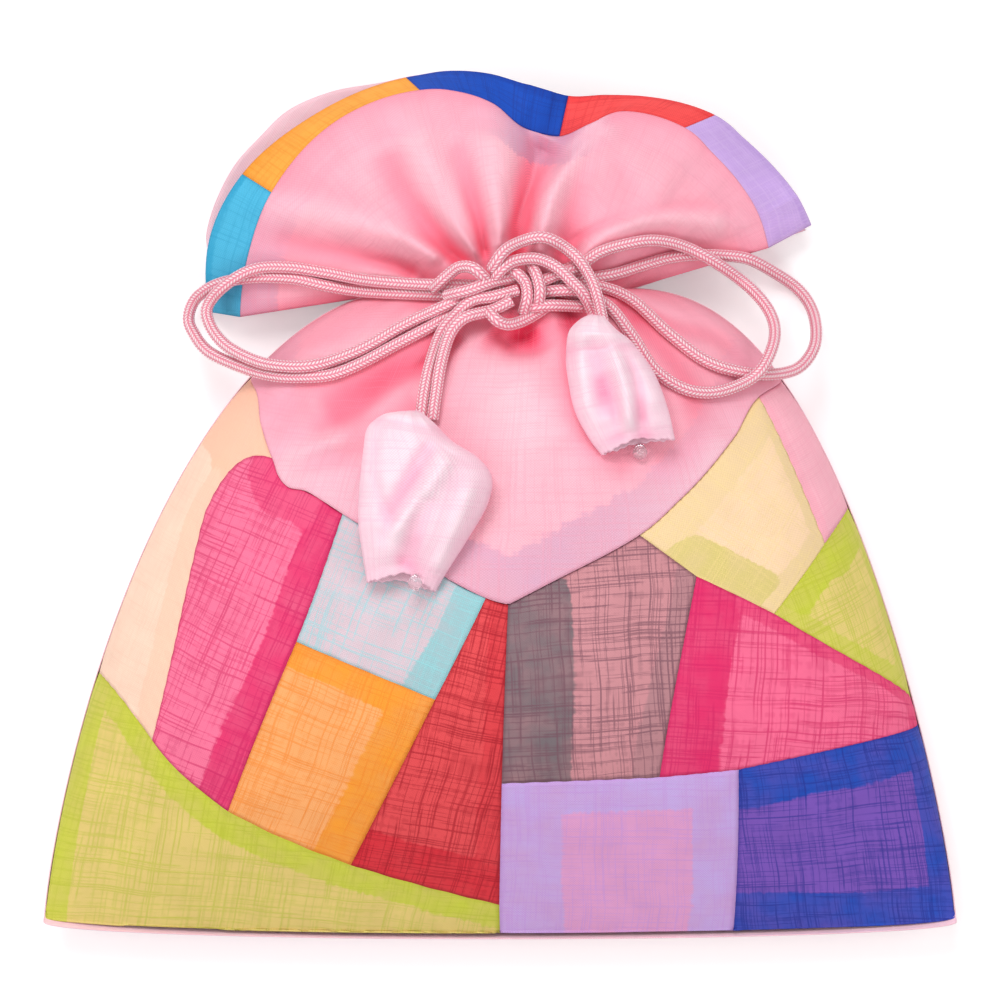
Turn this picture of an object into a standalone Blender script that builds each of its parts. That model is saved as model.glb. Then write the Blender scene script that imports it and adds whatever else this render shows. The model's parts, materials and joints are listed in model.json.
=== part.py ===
"""Patchwork drawstring pouch, drawn shut, tied in a bow and lying on its back.

Metres, +Z up. The base seam points to -Y, the ruffle to +Y and the patchwork front looks up (+Z).
The origin is at the middle of the underside.
"""
import math

import bmesh
import bpy
import numpy as np
from mathutils import Vector
from mathutils.bvhtree import BVHTree
from mathutils.geometry import delaunay_2d_cdt

MM = 0.001

# Pouch body
BASE_WIDTH = 190 * MM
BODY_LENGTH = 132 * MM
NECK_WIDTH = 44 * MM
NECK_SHIFT = 5 * MM
BASE_SAG = 3.4 * MM
SEAM_HEIGHT = 9 * MM
BODY_THICKNESS = 42 * MM
NECK_THICKNESS = 21 * MM
PEAK_AT = 0.45
BACK_ROLL = 1.2 * MM

# Cloth
WALL = 0.5 * MM
GAP = 0.3 * MM
SIDE_SEAM_GAP = 0.6 * MM
CELL = 7 * MM
LINING_DEPTH = 1.5 * MM
LINING_WALL = 0.4 * MM

# Gathers at the neck
PUCKER_DEPTH = 0.5 * MM
PUCKER_REACH = 0.2
FOLD_FADE = 9 * MM
RUFFLE_COLUMNS = 56

# Ruffle
RUFFLE_HEIGHT = 42 * MM
RUFFLE_HALF_WIDTH = 57 * MM
RUFFLE_DOME = 6 * MM
HEM_CREST = 17 * MM
HEM_SIDE = 7 * MM
HEM_BAND = 9 * MM
HEM_LEAN = 0.8
BACK_HEM_HEIGHT = 3 * MM
BACK_WAVE = 1 * MM
BACK_WAVES = 4

# Cord and what hangs on it
CORD_DIAMETER = 2.5 * MM
CORD_STEP = 5 * MM
DROP_SLOPE = 0.7
KNOT_LENGTH = 17 * MM
KNOT_WIDTH = 11 * MM
KNOT_HEIGHT = 8 * MM
BUD_THICKNESS = 12 * MM
BUD_WALL = 0.7 * MM
BUD_THINNEST = 0.4 * MM
BUD_NOTCH = 2.6 * MM
BUD_UPPER_SHARE = 1.25
BUD_UNDER_SHARE = 0.6
BUD_RINGS = 10
BUD_SIDES = 20
BUD_HOLLOW_FROM = 6
BEAD_DIAMETER = 3 * MM

# Patch corners as shares of the panel: across (-1 left seam, 1 right seam), up (0 base, 1 neck)
CORNERS = {
    "base_left": (-1, 0),
    "base_middle": (0, 0),
    "base_right_of_middle": (0.342, 0),
    "base_right": (1, 0),
    "side_left_low": (-1, 0.394),
    "side_left_high": (-1, 0.868),
    "side_right_low": (1, 0.313),
    "side_right_mid": (1, 0.354),
    "side_right_upper": (1, 0.655),
    "side_right_high": (1, 0.861),
    "peach_foot": (-0.612, 0.297),
    "magenta_foot": (-0.423, 0.192),
    "orange_foot": (-0.215, 0.112),
    "red_foot": (-0.001, 0.051),
    "peach_shoulder": (-0.669, 0.644),
    "peach_top": (-0.527, 0.732),
    "magenta_top": (-0.309, 0.646),
    "ice_foot": (-0.344, 0.452),
    "ice_corner": (-0.101, 0.366),
    "ice_top": (-0.029, 0.519),
    "tip": (0.008, 0.509),
    "grey_foot": (0.002, 0.239),
    "grey_corner": (0.238, 0.247),
    "grey_top": (0.242, 0.614),
    "grey_right": (0.341, 0.551),
    "lavender_corner": (0.37, 0.257),
    "lime_foot": (0.491, 0.493),
    "lime_corner": (0.695, 0.6),
    "yellow_top": (0.673, 0.829),
}

YOKE_CORNERS = (
    "side_left_high", "peach_top", "magenta_top", "ice_top", "tip", "grey_top", "yellow_top",
    "side_right_high")

# How far the seam between two corners bows to the left of its run, as a share of its length
BOWS = {
    ("side_left_low", "peach_foot"): 0.1,
    ("peach_foot", "peach_shoulder"): -0.045,
    ("peach_shoulder", "peach_top"): 0.335,
    ("peach_foot", "magenta_foot"): -0.01,
    ("magenta_foot", "orange_foot"): -0.01,
    ("orange_foot", "red_foot"): -0.01,
    ("side_right_mid", "lime_foot"): 0.055,
    ("lavender_corner", "side_right_low"): 0.025,
    ("ice_foot", "magenta_top"): -0.015,
    ("lime_corner", "side_right_upper"): 0.06,
    ("grey_corner", "grey_right"): 0.02,
    ("lime_foot", "lime_corner"): 0.03,
    ("lime_corner", "yellow_top"): 0.015,
    ("ice_foot", "ice_corner"): 0.01,
}

# Lower edge of the yoke: share across, share up
YOKE_EDGE = (
    (-1, 0.868), (-0.753, 0.836), (-0.621, 0.783), (-0.527, 0.732), (-0.488, 0.705),
    (-0.45, 0.687), (-0.405, 0.681), (-0.365, 0.668), (-0.309, 0.646), (-0.185, 0.594),
    (-0.091, 0.546), (-0.029, 0.519), (0.008, 0.509), (0.094, 0.549), (0.242, 0.614),
    (0.343, 0.673), (0.504, 0.761), (0.673, 0.829), (1, 0.861),
)

PATCHES = {
    "patch_peach": (
        "side_left_low", "peach_foot", "peach_shoulder", "peach_top", "side_left_high"),
    "patch_magenta_left": (
        "peach_foot", "magenta_foot", "ice_foot", "magenta_top", "peach_top", "peach_shoulder"),
    "patch_ice_blue": ("ice_foot", "ice_corner", "ice_top", "magenta_top"),
    "patch_orange": ("magenta_foot", "orange_foot", "ice_corner", "ice_foot"),
    "patch_red": ("orange_foot", "red_foot", "grey_foot", "tip", "ice_top", "ice_corner"),
    "patch_green": (
        "base_left", "base_middle", "red_foot", "orange_foot", "magenta_foot", "peach_foot",
        "side_left_low"),
    "patch_grey": ("grey_foot", "grey_corner", "grey_right", "grey_top", "tip"),
    "patch_lavender": (
        "base_middle", "base_right_of_middle", "lavender_corner", "grey_corner", "grey_foot",
        "red_foot"),
    "patch_blue": ("base_right_of_middle", "base_right", "side_right_low", "lavender_corner"),
    "patch_magenta_right": (
        "grey_corner", "lavender_corner", "side_right_low", "side_right_mid", "lime_foot",
        "grey_right"),
    "patch_lime": ("lime_foot", "side_right_mid", "side_right_upper", "lime_corner"),
    "patch_yellow": ("grey_top", "grey_right", "lime_foot", "lime_corner", "yellow_top"),
    "patch_pink_right": (
        "lime_corner", "side_right_upper", "side_right_high", "yellow_top"),
}

PATCH_COLOURS = {
    "patch_peach": (0.96, 0.68, 0.5),
    "patch_magenta_left": (0.87, 0.13, 0.28),
    "patch_ice_blue": (0.62, 0.62, 0.68),
    "patch_orange": (0.95, 0.35, 0.08),
    "patch_red": (0.7, 0.04, 0.06),
    "patch_green": (0.6, 0.58, 0.07),
    "patch_grey": (0.4, 0.22, 0.25),
    "patch_lavender": (0.6, 0.33, 0.62),
    "patch_blue": (0.06, 0.1, 0.5),
    "patch_magenta_right": (0.85, 0.1, 0.28),
    "patch_lime": (0.62, 0.66, 0.12),
    "patch_yellow": (0.94, 0.74, 0.38),
    "patch_pink_right": (0.98, 0.45, 0.5),
}
PINK = (1.0, 0.42, 0.5)
PALE_PINK = (0.98, 0.68, 0.75)
CORD_PINK = (0.9, 0.38, 0.45)

# Hem of the ruffle: share of the gathered cloth, then direction from the neck's middle in degrees
# (0 right, 90 up the ruffle) and reach as a share of the ruffle's height, first for the hem's
# inner edge and then for its outer edge
HEM_LINE = (
    (-1, 185.5, 1.42, 183.8, 1.585), (-0.85, 172.5, 1.38, 170.9, 1.585),
    (-0.7, 159.2, 1.34, 157.7, 1.515), (-0.5, 139.1, 1.25, 139.6, 1.355),
    (-0.3, 117.8, 1.107, 119.1, 1.206), (-0.19, 108.7, 1.025, 109.4, 1.15),
    (-0.08, 99.6, 0.924, 99.4, 1.084), (0.03, 90.5, 0.795, 88.9, 1.007),
    (0.14, 76.9, 0.772, 77.0, 0.979), (0.218, 67.9, 0.873, 67.1, 1.044),
    (0.3, 60.8, 1.0, 58, 1.13), (0.45, 44.9, 1.125, 42.3, 1.285),
    (0.588, 35.7, 1.151, 34.4, 1.328), (0.725, 26.8, 1.189, 26.9, 1.38),
    (0.863, 18.3, 1.223, 19.7, 1.432), (1, 9.7, 1.237, 12.7, 1.469),
)
# Hem of the back ruffle: share across, direction, reach
BACK_HEM_LINE = (
    (-1, 184, 1.5), (-0.88, 175, 1.56), (-0.8, 169.7, 1.614), (-0.66, 158, 1.585),
    (-0.55, 149.8, 1.527), (-0.46, 142.6, 1.483), (-0.38, 133.9, 1.384), (-0.3, 125, 1.27),
    (-0.2, 115, 1.195), (-0.08, 101, 1.07), (0.03, 89, 0.98), (0.14, 77, 0.95), (0.3, 58, 1.1),
    (0.45, 42.3, 1.255), (0.6, 34, 1.3), (0.8, 23, 1.39), (1, 12, 1.44),
)
# Folds as seen from above, in mm from the neck's middle: height and width of the fold where it
# starts, then where it ends, then the points it runs through. Negative heights are hollows.
YOKE_FOLDS = (
    (-5.2, 4.6, -3.4, 4.2, ((-6.5, -7.5), (-2, -10.5), (4, -8))),
    (1.6, 2.0, 0.8, 2.4, ((4.5, -3.5), (6.2, -8), (7, -14))),
    (-2.2, 1.9, -1.0, 3.0, ((8, -1), (10, -6), (14, -12))),
    (-3.0, 2.6, -0.4, 4.4, ((-14, -8), (-20.5, -15.5), (-30, -20.5), (-37.6, -24.5), (-46, -31))),
    (1.8, 1.7, 0.9, 2.6, ((-12, -3), (-20, -14), (-27, -22), (-31, -30))),
    (1.5, 2.2, 0.8, 3.0, ((-20, -5), (-34, -12), (-46, -16), (-54, -24))),
    (-1.6, 2.0, -0.6, 2.5, ((-51, -40), (-43, -36.8), (-33, -34))),
    (1.4, 1.8, 1.2, 2.4, ((-53, -38), (-44, -34), (-33, -30))),
    (-1.6, 1.6, -0.8, 3.0, ((18, -3), (30, -8), (42, -12), (52, -24))),
    (1.2, 1.5, 0.6, 3.0, ((12, -3), (22, -10), (30, -20), (34, -34))),
    (1.0, 1.4, 0.4, 2.6, ((-3, -3), (-6, -14), (-8, -26))),
)
RUFFLE_FOLDS = (
    (1.6, 1.3, 1.4, 3.4, ((-21, 0.5), (-29, 2.5), (-40, 0.8), (-58, -5))),
    (-2.6, 1.4, -0.9, 3.4, ((-21, 2), (-31, 5.8), (-46.6, 8.9), (-54, 11))),
    (1.8, 1.5, 1.4, 4.6, ((-16, 5), (-25.9, 10.2), (-42, 15), (-58, 17.5))),
    (-4.6, 1.7, -0.9, 4.2, ((-10.5, 3.5), (-16.5, 9), (-22, 15), (-26.5, 21.7), (-30, 30))),
    (2.2, 1.4, 1.2, 3.8, ((-9, 5), (-15.2, 14.8), (-20, 24), (-24, 34))),
    (-3.4, 1.0, -0.5, 3.0, ((-7.6, 5), (-9.6, 14), (-12.6, 23), (-15.5, 32))),
    (2.0, 2.2, 1.8, 5.0, ((-4.5, 6), (-4.6, 16), (-5, 28), (-5, 34))),
    (-6.5, 1.5, -7.0, 4.4, ((-1.6, 4), (-1.0, 11), (0.3, 20), (4, 28), (6, 32))),
    (2.8, 1.7, 2.8, 3.6, ((2.6, 5), (3.8, 12), (7.5, 23), (13, 32), (19, 37))),
    (-3.2, 1.8, -0.6, 8.0, ((8, 4), (10, 11), (14, 19), (24, 26))),
    (2.4, 1.6, 1.8, 3.0, ((10, 4), (18, 11), (30, 14), (44, 13))),
    (-1.4, 1.6, -0.7, 3.0, ((16, 1), (28, 6), (40, 8), (50, 9))),
)
# Strips of the hem band: name, where it starts and ends across, colour
HEM_STRIPS = (
    ("hem_cyan", -1.0, -0.7, (0.08, 0.45, 0.68)),
    ("hem_orange", -0.7, -0.3, (0.95, 0.4, 0.07)),
    ("hem_blue", -0.3, 0.14, (0.02, 0.08, 0.5)),
    ("hem_red", 0.14, 0.45, (0.88, 0.1, 0.08)),
    ("hem_lavender", 0.45, 1.0, (0.58, 0.4, 0.75)),
)

# Cord routes as seen from above, from the neck's middle: right and up the ruffle, in mm
ROUTES = {
    "cord_left_outer": (
        (-5, -2.2), (-11, -2), (-19.8, -1.7), (-32, -0.9), (-41.6, 0.6), (-47.8, 2), (-54.7, 2.4),
        (-60, 2), (-65, 0.7), (-68.9, -2), (-70.2, -5.7), (-69.2, -8.8), (-65.6, -13.2),
        (-57.9, -16.8), (-51.8, -18.5), (-46, -18.9), (-39.9, -18.5), (-34, -16.3), (-25.9, -12),
        (-19.8, -8.8), (-13, -5.2), (-6, -3.6)),
    "cord_left_inner": (
        (-4, -1), (-11, 0), (-22, 0.4), (-32, 1.4), (-41, 3.2), (-49.5, 4.4), (-56.5, 3.9),
        (-62.6, 0.4), (-66, -3.6), (-65.4, -7.6), (-62, -11.9), (-55.8, -15.3), (-49.9, -16.6),
        (-43.9, -16.6), (-38, -15), (-32, -12.4), (-25.9, -8.8), (-19.8, -5.8), (-12, -2.8),
        (-5, -2.6)),
    "cord_right_outer": (
        (6, 0), (13.8, 1.8), (18.8, 2.7), (24.3, 4.5), (29.9, 6.2), (35.6, 7), (41.2, 7),
        (46.8, 6.4), (52.3, 3.9), (57.6, 0.4), (60.6, -4.8), (60.8, -11.3), (57.6, -16.2),
        (52.3, -18), (45, -17.8), (37.4, -15.5), (29.9, -9.9), (22.4, -2.8), (15.5, 0.1), (7, 1)),
    "cord_right_inner": (
        (5, 2), (11.9, 4.7), (15.7, 7), (20.7, 8.6), (27, 9.6), (33.7, 8.4), (41.2, 4.6),
        (47, 0.4), (51.2, -5.3), (51.8, -11), (48.6, -17.6), (43.1, -21), (37.4, -22.2),
        (31.8, -21), (26.4, -17), (21.8, -9.9), (16.2, -3.4), (7, -1)),
    "cord_tail_left_1": (
        (-1.4, -1.1), (-6.2, -2.4), (-10.6, -3.2), (-14, -6.1), (-17.1, -9.9), (-19.2, -15.9),
        (-20.3, -22.5)),
    "cord_tail_left_2": (
        (-2.5, -3.2), (-6.2, -5.1), (-12.1, -6.8), (-15.2, -10.1), (-17, -15.9), (-17.9, -22)),
    "cord_tail_right_1": (
        (-6.7, 3.3), (-4, 7), (-0.2, 9.1), (3.6, 9.8), (7.3, 8.5), (10.9, 5.6), (13.6, 1.4),
        (15.3, -3.6)),
    "cord_tail_right_2": (
        (-6, 1.6), (-4.4, 3.4), (-1.7, 5), (2.7, 5.4), (6.5, 3.7), (9.4, 1), (12.6, -3)),
    "cord_neck_left": ((-18.6, -0.5), (-15.8, 2), (-13.4, 3.6), (-10.6, 3.4), (-8, 1.2)),
}
KNOT_AT = (1, -1)
# Buds: left and right outline from the head to the mouth, seen from above in mm from the neck
BUD_OUTLINES = {
    "left": (
        ((-25.6, -26.2), (-29, -27), (-32, -29.6), (-32.8, -34), (-33.6, -42), (-33.8, -48.5),
         (-33, -55), (-32, -61.1)),
        ((-21.5, -26), (-18.4, -28.6), (-14.6, -32.4), (-9.6, -35.6), (-6.6, -39.8),
         (-7.6, -45.5), (-11.5, -52.3), (-15.9, -59.2), (-18.2, -63))),
    "right": (
        ((13.4, -6.2), (11, -7.6), (9, -10), (8.5, -14), (8.6, -18), (10.1, -25.8),
         (13, -31.6), (15.7, -35.2)),
        ((16.2, -6.6), (19, -9.6), (22.4, -12.4), (26.6, -18.5), (29.3, -25.8), (30.7, -32))),
}
# How thick a bud is along its length, as a share of its full thickness
BUD_PROFILE = (
    (0, 0.26), (0.1, 0.81), (0.2, 0.95), (0.3, 1), (0.5, 0.93), (0.7, 0.74), (0.9, 0.46), (1, 0.36))
BUD_FOLDS = {
    "left": (
        (2.6, 1.8, 1.8, 2.8, ((-15, -33), (-18.2, -36.6), (-24, -44.5), (-30.1, -52.7))),
        (-1.8, 2.2, -1.4, 2.4, ((-20, -42), (-23, -50), (-25, -60)))),
    "right": (
        (-1.8, 2.4, -2.2, 2.6, ((15.4, -14), (16.8, -21), (17.6, -29))),
        (1.6, 1.8, 1.8, 2.0, ((18, -12), (21, -20), (24, -30)))),
}
BEADS = {"left": (-22.2, -62.4), "right": (23.8, -35.6)}

for item in list(bpy.data.objects):
    bpy.data.objects.remove(item, do_unlink=True)
ROOT = bpy.data.objects.new("pouch", None)
bpy.context.scene.collection.objects.link(ROOT)


def material(name, colour, roughness=0.75):
    made = bpy.data.materials.new(name)
    made.use_nodes = True
    shader = made.node_tree.nodes["Principled BSDF"]
    shader.inputs["Base Color"].default_value = (*colour, 1)
    shader.inputs["Roughness"].default_value = roughness
    shader.inputs["Metallic"].default_value = 0
    return made


def add_object(name, data, colour, roughness=0.75):
    data.materials.append(material(name, colour, roughness))
    made = bpy.data.objects.new(name, data)
    bpy.context.scene.collection.objects.link(made)
    made.parent = ROOT
    return made


def spline_through(points, count):
    """A smooth curve through the points (Catmull-Rom), read at even steps of its length."""
    fixed = np.array(points, float)
    padded = np.vstack([2 * fixed[0] - fixed[1], fixed, 2 * fixed[-1] - fixed[-2]])
    fine = []
    for i in range(len(fixed) - 1):
        p0, p1, p2, p3 = padded[i:i + 4]
        s = np.linspace(0, 1, 24, endpoint=False)[:, None]
        fine.append(0.5 * (2 * p1 + (p2 - p0) * s + (2 * p0 - 5 * p1 + 4 * p2 - p3) * s ** 2
                           + (3 * p1 - p0 - 3 * p2 + p3) * s ** 3))
    fine = np.vstack(fine + [fixed[-1:]])
    run = np.concatenate([[0], np.cumsum(np.linalg.norm(np.diff(fine, axis=0), axis=1))])
    at = np.linspace(0, run[-1], count)
    return np.stack([np.interp(at, run, fine[:, k]) for k in range(fine.shape[1])], axis=1)


def half_width(up):
    """The body narrows slowly from the base and rounds over into the neck."""
    up = np.clip(up, 0, 1)
    return NECK_WIDTH / 2 + (BASE_WIDTH - NECK_WIDTH) / 2 * (1 - up ** 1.3) ** (1 / 2.2)


def fullness(up):
    """Height of the stuffed body along its length: 0 at the base, 1 at its fullest."""
    at_neck = (NECK_THICKNESS - SEAM_HEIGHT) / (BODY_THICKNESS - SEAM_HEIGHT)
    rise = np.sin(math.pi / 2 * np.minimum(up / PEAK_AT, 1))
    fall = np.clip((up - PEAK_AT) / (1 - PEAK_AT), 0, 1)
    return rise * (1 - (1 - at_neck) * fall ** 2.5)


def fold_heights(flat, folds):
    """Height added by folds at places seen from above: each gives its height times
    exp(-(distance from its line / its width)^2), height and width running evenly along it."""
    spots = flat.reshape(-1, 1, 2) - (NECK_SHIFT, BODY_LENGTH)
    rows = np.arange(len(spots))
    height = np.zeros(len(spots))
    for start_height, start_width, end_height, end_width, points in folds:
        line = spline_through(np.array(points) * MM, 33)
        start, run = line[:-1], np.diff(line, axis=0)
        share = np.clip(np.sum((spots - start) * run, axis=2) / np.sum(run * run, axis=1), 0, 1)
        away = np.linalg.norm(start + run * share[..., None] - spots, axis=2)
        near = np.argmin(away, axis=1)
        along = (near + share[rows, near]) / len(start)
        level = (start_height + (end_height - start_height) * along) * MM
        width = (start_width + (end_width - start_width) * along) * MM
        ends = np.clip(along / 0.06, 0.25, 1) * np.clip((1 - along) / 0.1, 0.3, 1)
        height += level * ends * np.exp(-(away[rows, near] / width) ** 2)
    return height.reshape(flat.shape[:-1])


def puckers(across, up):
    """Small puckers where the cord draws the cloth together, fading down the body."""
    pull = np.clip(1 - (1 - up) / PUCKER_REACH, 0, 1) ** 2
    return PUCKER_DEPTH * pull * np.cos(34 * across + 3 * np.sin(5 * across))


def body_point(across, up, above=True):
    """Middle of the cloth of the front or the back, from shares across and up the panel."""
    turn = math.pi / 2 * across
    side = np.sin(turn)
    crown = np.cos(turn)
    full = fullness(up) * crown
    x = NECK_SHIFT * up ** 3 + half_width(up) * side
    y = BODY_LENGTH * up - BASE_SAG * crown * (1 - up) ** 2
    if above:
        z = SEAM_HEIGHT + SIDE_SEAM_GAP + (BODY_THICKNESS - SEAM_HEIGHT) * full
        z = z + puckers(across, up) * crown
    else:
        z = (SEAM_HEIGHT - SIDE_SEAM_GAP) * np.clip(1 - full / 0.4, 0, 1) ** 1.8 + WALL / 2
    return np.stack([x, y, z], axis=-1)


def pink_folds(point):
    """What the folds of the yoke and the ruffle add at a point, less where the cloth lies low."""
    fade = np.clip((point[..., 2] - 6 * MM) / (6 * MM), 0.2, 1)
    return fold_heights(point[..., :2], YOKE_FOLDS + RUFFLE_FOLDS) * fade


def yoke_point(across, up):
    """The front with the yoke's folds, which fade to nothing where the yoke is sewn down."""
    point = body_point(across, up)
    free = np.clip((up - yoke_edge(across)) * BODY_LENGTH / FOLD_FADE, 0, 1)
    point[..., 2] += pink_folds(point) * free
    return point


def yoke_edge(across):
    """Share up of the yoke's lower edge: a smooth line on each side of its point."""
    edge = np.array(YOKE_EDGE)
    point = YOKE_EDGE.index(CORNERS["tip"])
    smooth = np.vstack([spline_through(edge[:point + 1], 200), spline_through(edge[point:], 200)])
    return np.interp(across, smooth[:, 0], smooth[:, 1])


def neck_place(angle, reach):
    """A place seen from above, from its direction and its reach from the neck's middle."""
    turn = np.radians(angle)
    flat = np.stack([np.cos(turn), np.sin(turn)], axis=-1) * reach[..., None] * RUFFLE_HEIGHT
    return flat + (NECK_SHIFT, BODY_LENGTH)


def hem_point(across, past=0.0):
    """Between the hem's inner and outer edge by the share past. Where the band looks narrower
    from above than it is, it leans down towards the table."""
    line = spline_through(np.array(HEM_LINE, float), 300)
    read = [np.interp(across, line[:, 0], line[:, k]) for k in range(1, 5)]
    inner, outer = neck_place(read[0], read[1]), neck_place(read[2], read[3])
    flat = inner + (outer - inner) * np.asarray(past)[..., None]
    seen = np.linalg.norm(outer - inner, axis=-1)
    drop = HEM_LEAN * np.sqrt(np.maximum(HEM_BAND ** 2 - seen ** 2, 0))
    crown = np.cos(math.pi / 2 * across)
    level = HEM_SIDE + (HEM_CREST - HEM_SIDE) * crown ** 0.7 - past * drop
    return np.concatenate([flat, level[..., None]], axis=-1)


def ruffle_point(across, out):
    """Front ruffle: out is 0 at the neck, 1 at the hem and up to 2 at the band's outer edge."""
    inner = np.clip(out, 0, 1)[..., None]
    past = np.clip(out - 1, 0, 1)
    neck = body_point(across, np.ones_like(across))

    def unfolded(along, beyond):
        point = neck * (1 - along) + hem_point(across, beyond) * along
        lift = RUFFLE_DOME * np.sin(math.pi * along[..., 0]) * np.cos(math.pi / 2 * across)
        point[..., 2] += lift
        return point

    point = unfolded(inner, past)
    at_hem = pink_folds(unfolded(np.ones_like(inner), np.zeros_like(past))) * (1 - 0.75 * past)
    point[..., 2] += np.where(past > 0, at_hem, pink_folds(point))
    return point


def back_ruffle_point(across, out):
    """Back ruffle: lies near the table and reaches a little past the front hem on the left."""
    inner = out[..., None]
    neck = body_point(across, np.ones_like(across), above=False)
    line = spline_through(np.array(BACK_HEM_LINE, float), 300)
    angle, reach = (np.interp(across, line[:, 0], line[:, k]) for k in (1, 2))
    flat = neck_place(angle, reach)
    hem = np.concatenate([flat, np.full(across.shape + (1,), BACK_HEM_HEIGHT)], axis=-1)
    point = neck * (1 - inner) + hem * inner
    point[..., 2] += BACK_WAVE * out * np.cos(math.pi * BACK_WAVES * (across + 1))
    return point


def unit(vectors):
    return vectors / np.maximum(np.linalg.norm(vectors, axis=-1, keepdims=True), 1e-12)


def grid_normals(grid):
    along = np.gradient(grid, axis=0)
    up = np.gradient(grid, axis=1)
    return unit(np.cross(along, up))


def sheet_mesh(name, middle, normals, faces, edge, wall):
    """A closed sheet of cloth: both faces of a middle surface and the wall round its edge."""
    count = len(middle)
    top = middle + normals * wall / 2
    under = middle - normals * wall / 2
    walls = [(a, a + count, b + count, b) for a, b in edge]
    sides = [tuple(face) for face in faces]
    backs = [tuple(i + count for i in reversed(face)) for face in sides]
    mesh = bpy.data.meshes.new(name)
    mesh.from_pydata(np.vstack([top, under]).tolist(), [], sides + backs + walls)
    mesh.validate()
    mesh.shade_smooth()
    return mesh


def grid_sheet(name, grid, wall, offset=0.0):
    """A sheet from a grid of points whose first axis runs left to right and second runs up."""
    columns, rows = grid.shape[:2]
    normals = grid_normals(grid)
    index = np.arange(columns * rows).reshape(columns, rows)
    faces = [
        (index[i, j], index[i + 1, j], index[i + 1, j + 1], index[i, j + 1])
        for i in range(columns - 1) for j in range(rows - 1)]
    rim = list(index[:, 0]) + list(index[-1, 1:]) + list(index[-2::-1, -1]) + list(
        index[0, -2:0:-1])
    edge = list(zip(rim, rim[1:] + rim[:1]))
    middle = (grid + normals * offset).reshape(-1, 3)
    return sheet_mesh(name, middle, normals.reshape(-1, 3), faces, edge, wall)


def shared_columns():
    """Shares across the gathered cloth, even but for one on each patch corner."""
    columns = np.linspace(-1, 1, RUFFLE_COLUMNS + 1)
    for corner in YOKE_CORNERS:
        nearest = np.argmin(np.abs(columns - CORNERS[corner][0]))
        columns[nearest] = CORNERS[corner][0]
    return columns


def between(columns, start, end):
    """The columns that lie strictly between two shares, in the order from start to end."""
    low, high = sorted((start, end))
    some = columns[(columns > low + 1e-6) & (columns < high - 1e-6)]
    return some if start < end else some[::-1]


def seam(start, end):
    """Points of the seam from one corner towards the next, the last corner left out."""
    a = np.array(CORNERS[start], float)
    b = np.array(CORNERS[end], float)
    across_yoke = start in YOKE_CORNERS and end in YOKE_CORNERS
    scale = np.array([BASE_WIDTH / 2, BODY_LENGTH])
    steps = max(2, int(np.ceil(np.linalg.norm((b - a) * scale) / CELL)))
    s = np.linspace(0, 1, steps, endpoint=False)[:, None]
    points = a + (b - a) * s
    bow = BOWS.get((start, end), 0) - BOWS.get((end, start), 0)
    left = np.array([-(b - a)[1] * scale[1], (b - a)[0] * scale[0]]) / scale
    points = points + left * bow * 4 * s * (1 - s)
    if across_yoke:
        shares = np.concatenate([[a[0]], between(shared_columns(), a[0], b[0])])
        points = np.stack([shares, yoke_edge(shares)], axis=1)
    return points


def inset_outline(flat, amount):
    """Moves each point of a closed outline inwards by the amount (outline runs anticlockwise)."""
    before = unit(flat - np.roll(flat, 1, axis=0))
    after = unit(np.roll(flat, -1, axis=0) - flat)
    normal_before = np.stack([-before[:, 1], before[:, 0]], axis=1)
    normal_after = np.stack([-after[:, 1], after[:, 0]], axis=1)
    middle = unit(normal_before + normal_after)
    reach = amount / np.maximum(np.sum(middle * normal_after, axis=1), 0.35)
    return flat + middle * reach[:, None]


def patch_sheet(name, corners):
    """One patch: its outline on the flat panel, filled with triangles, laid on the body."""
    outline = np.vstack([
        seam(a, b) for a, b in zip(corners, corners[1:] + corners[:1])])
    scale = np.array([BASE_WIDTH / 2, BODY_LENGTH])
    outline[:, 1] = np.maximum(outline[:, 1], BACK_ROLL / BODY_LENGTH)
    rim = inset_outline(outline * scale, GAP / 2)
    low, high = rim.min(axis=0), rim.max(axis=0)
    rows = np.arange(low[1] + CELL / 2, high[1], CELL * 0.87)
    inner = [
        (x + (k % 2) * CELL / 2, y) for k, y in enumerate(rows)
        for x in np.arange(low[0] + CELL / 2, high[0], CELL)]
    inner = [p for p in inner if inside(p, rim) and distance_to(p, rim) > CELL * 0.45]
    points = [Vector(p) for p in list(map(tuple, rim)) + inner]
    ring = [(i, (i + 1) % len(rim)) for i in range(len(rim))]
    verts, _, faces, *_ = delaunay_2d_cdt(points, ring, [], 1, 1e-7)
    flat = np.array([tuple(v) for v in verts]) / scale
    middle = body_point(flat[:, 0], flat[:, 1])
    step = 1e-4
    along = body_point(flat[:, 0] + step, flat[:, 1]) - body_point(flat[:, 0] - step, flat[:, 1])
    up = body_point(flat[:, 0], flat[:, 1] + step) - body_point(flat[:, 0], flat[:, 1] - step)
    normals = unit(np.cross(along, up))
    faces = [tuple(face) for face in faces]
    return sheet_mesh(name, middle, normals, faces, ring, WALL)


def inside(point, ring):
    x, y = point
    x0, y0 = ring[:, 0], ring[:, 1]
    x1, y1 = np.roll(x0, -1), np.roll(y0, -1)
    crossing = (y0 > y) != (y1 > y)
    at = x0 + (y - y0) * (x1 - x0) / np.where(y1 == y0, 1, y1 - y0)
    return np.count_nonzero(crossing & (x < at)) % 2 == 1


def distance_to(point, ring):
    start = ring
    run = np.roll(ring, -1, axis=0) - ring
    share = np.clip(
        np.sum((np.array(point) - start) * run, axis=1) / np.sum(run * run, axis=1), 0, 1)
    return np.min(np.linalg.norm(start + run * share[:, None] - np.array(point), axis=1))


def make_front_patches():
    for name, corners in PATCHES.items():
        add_object(name, patch_sheet(name, corners), PATCH_COLOURS[name])


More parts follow.
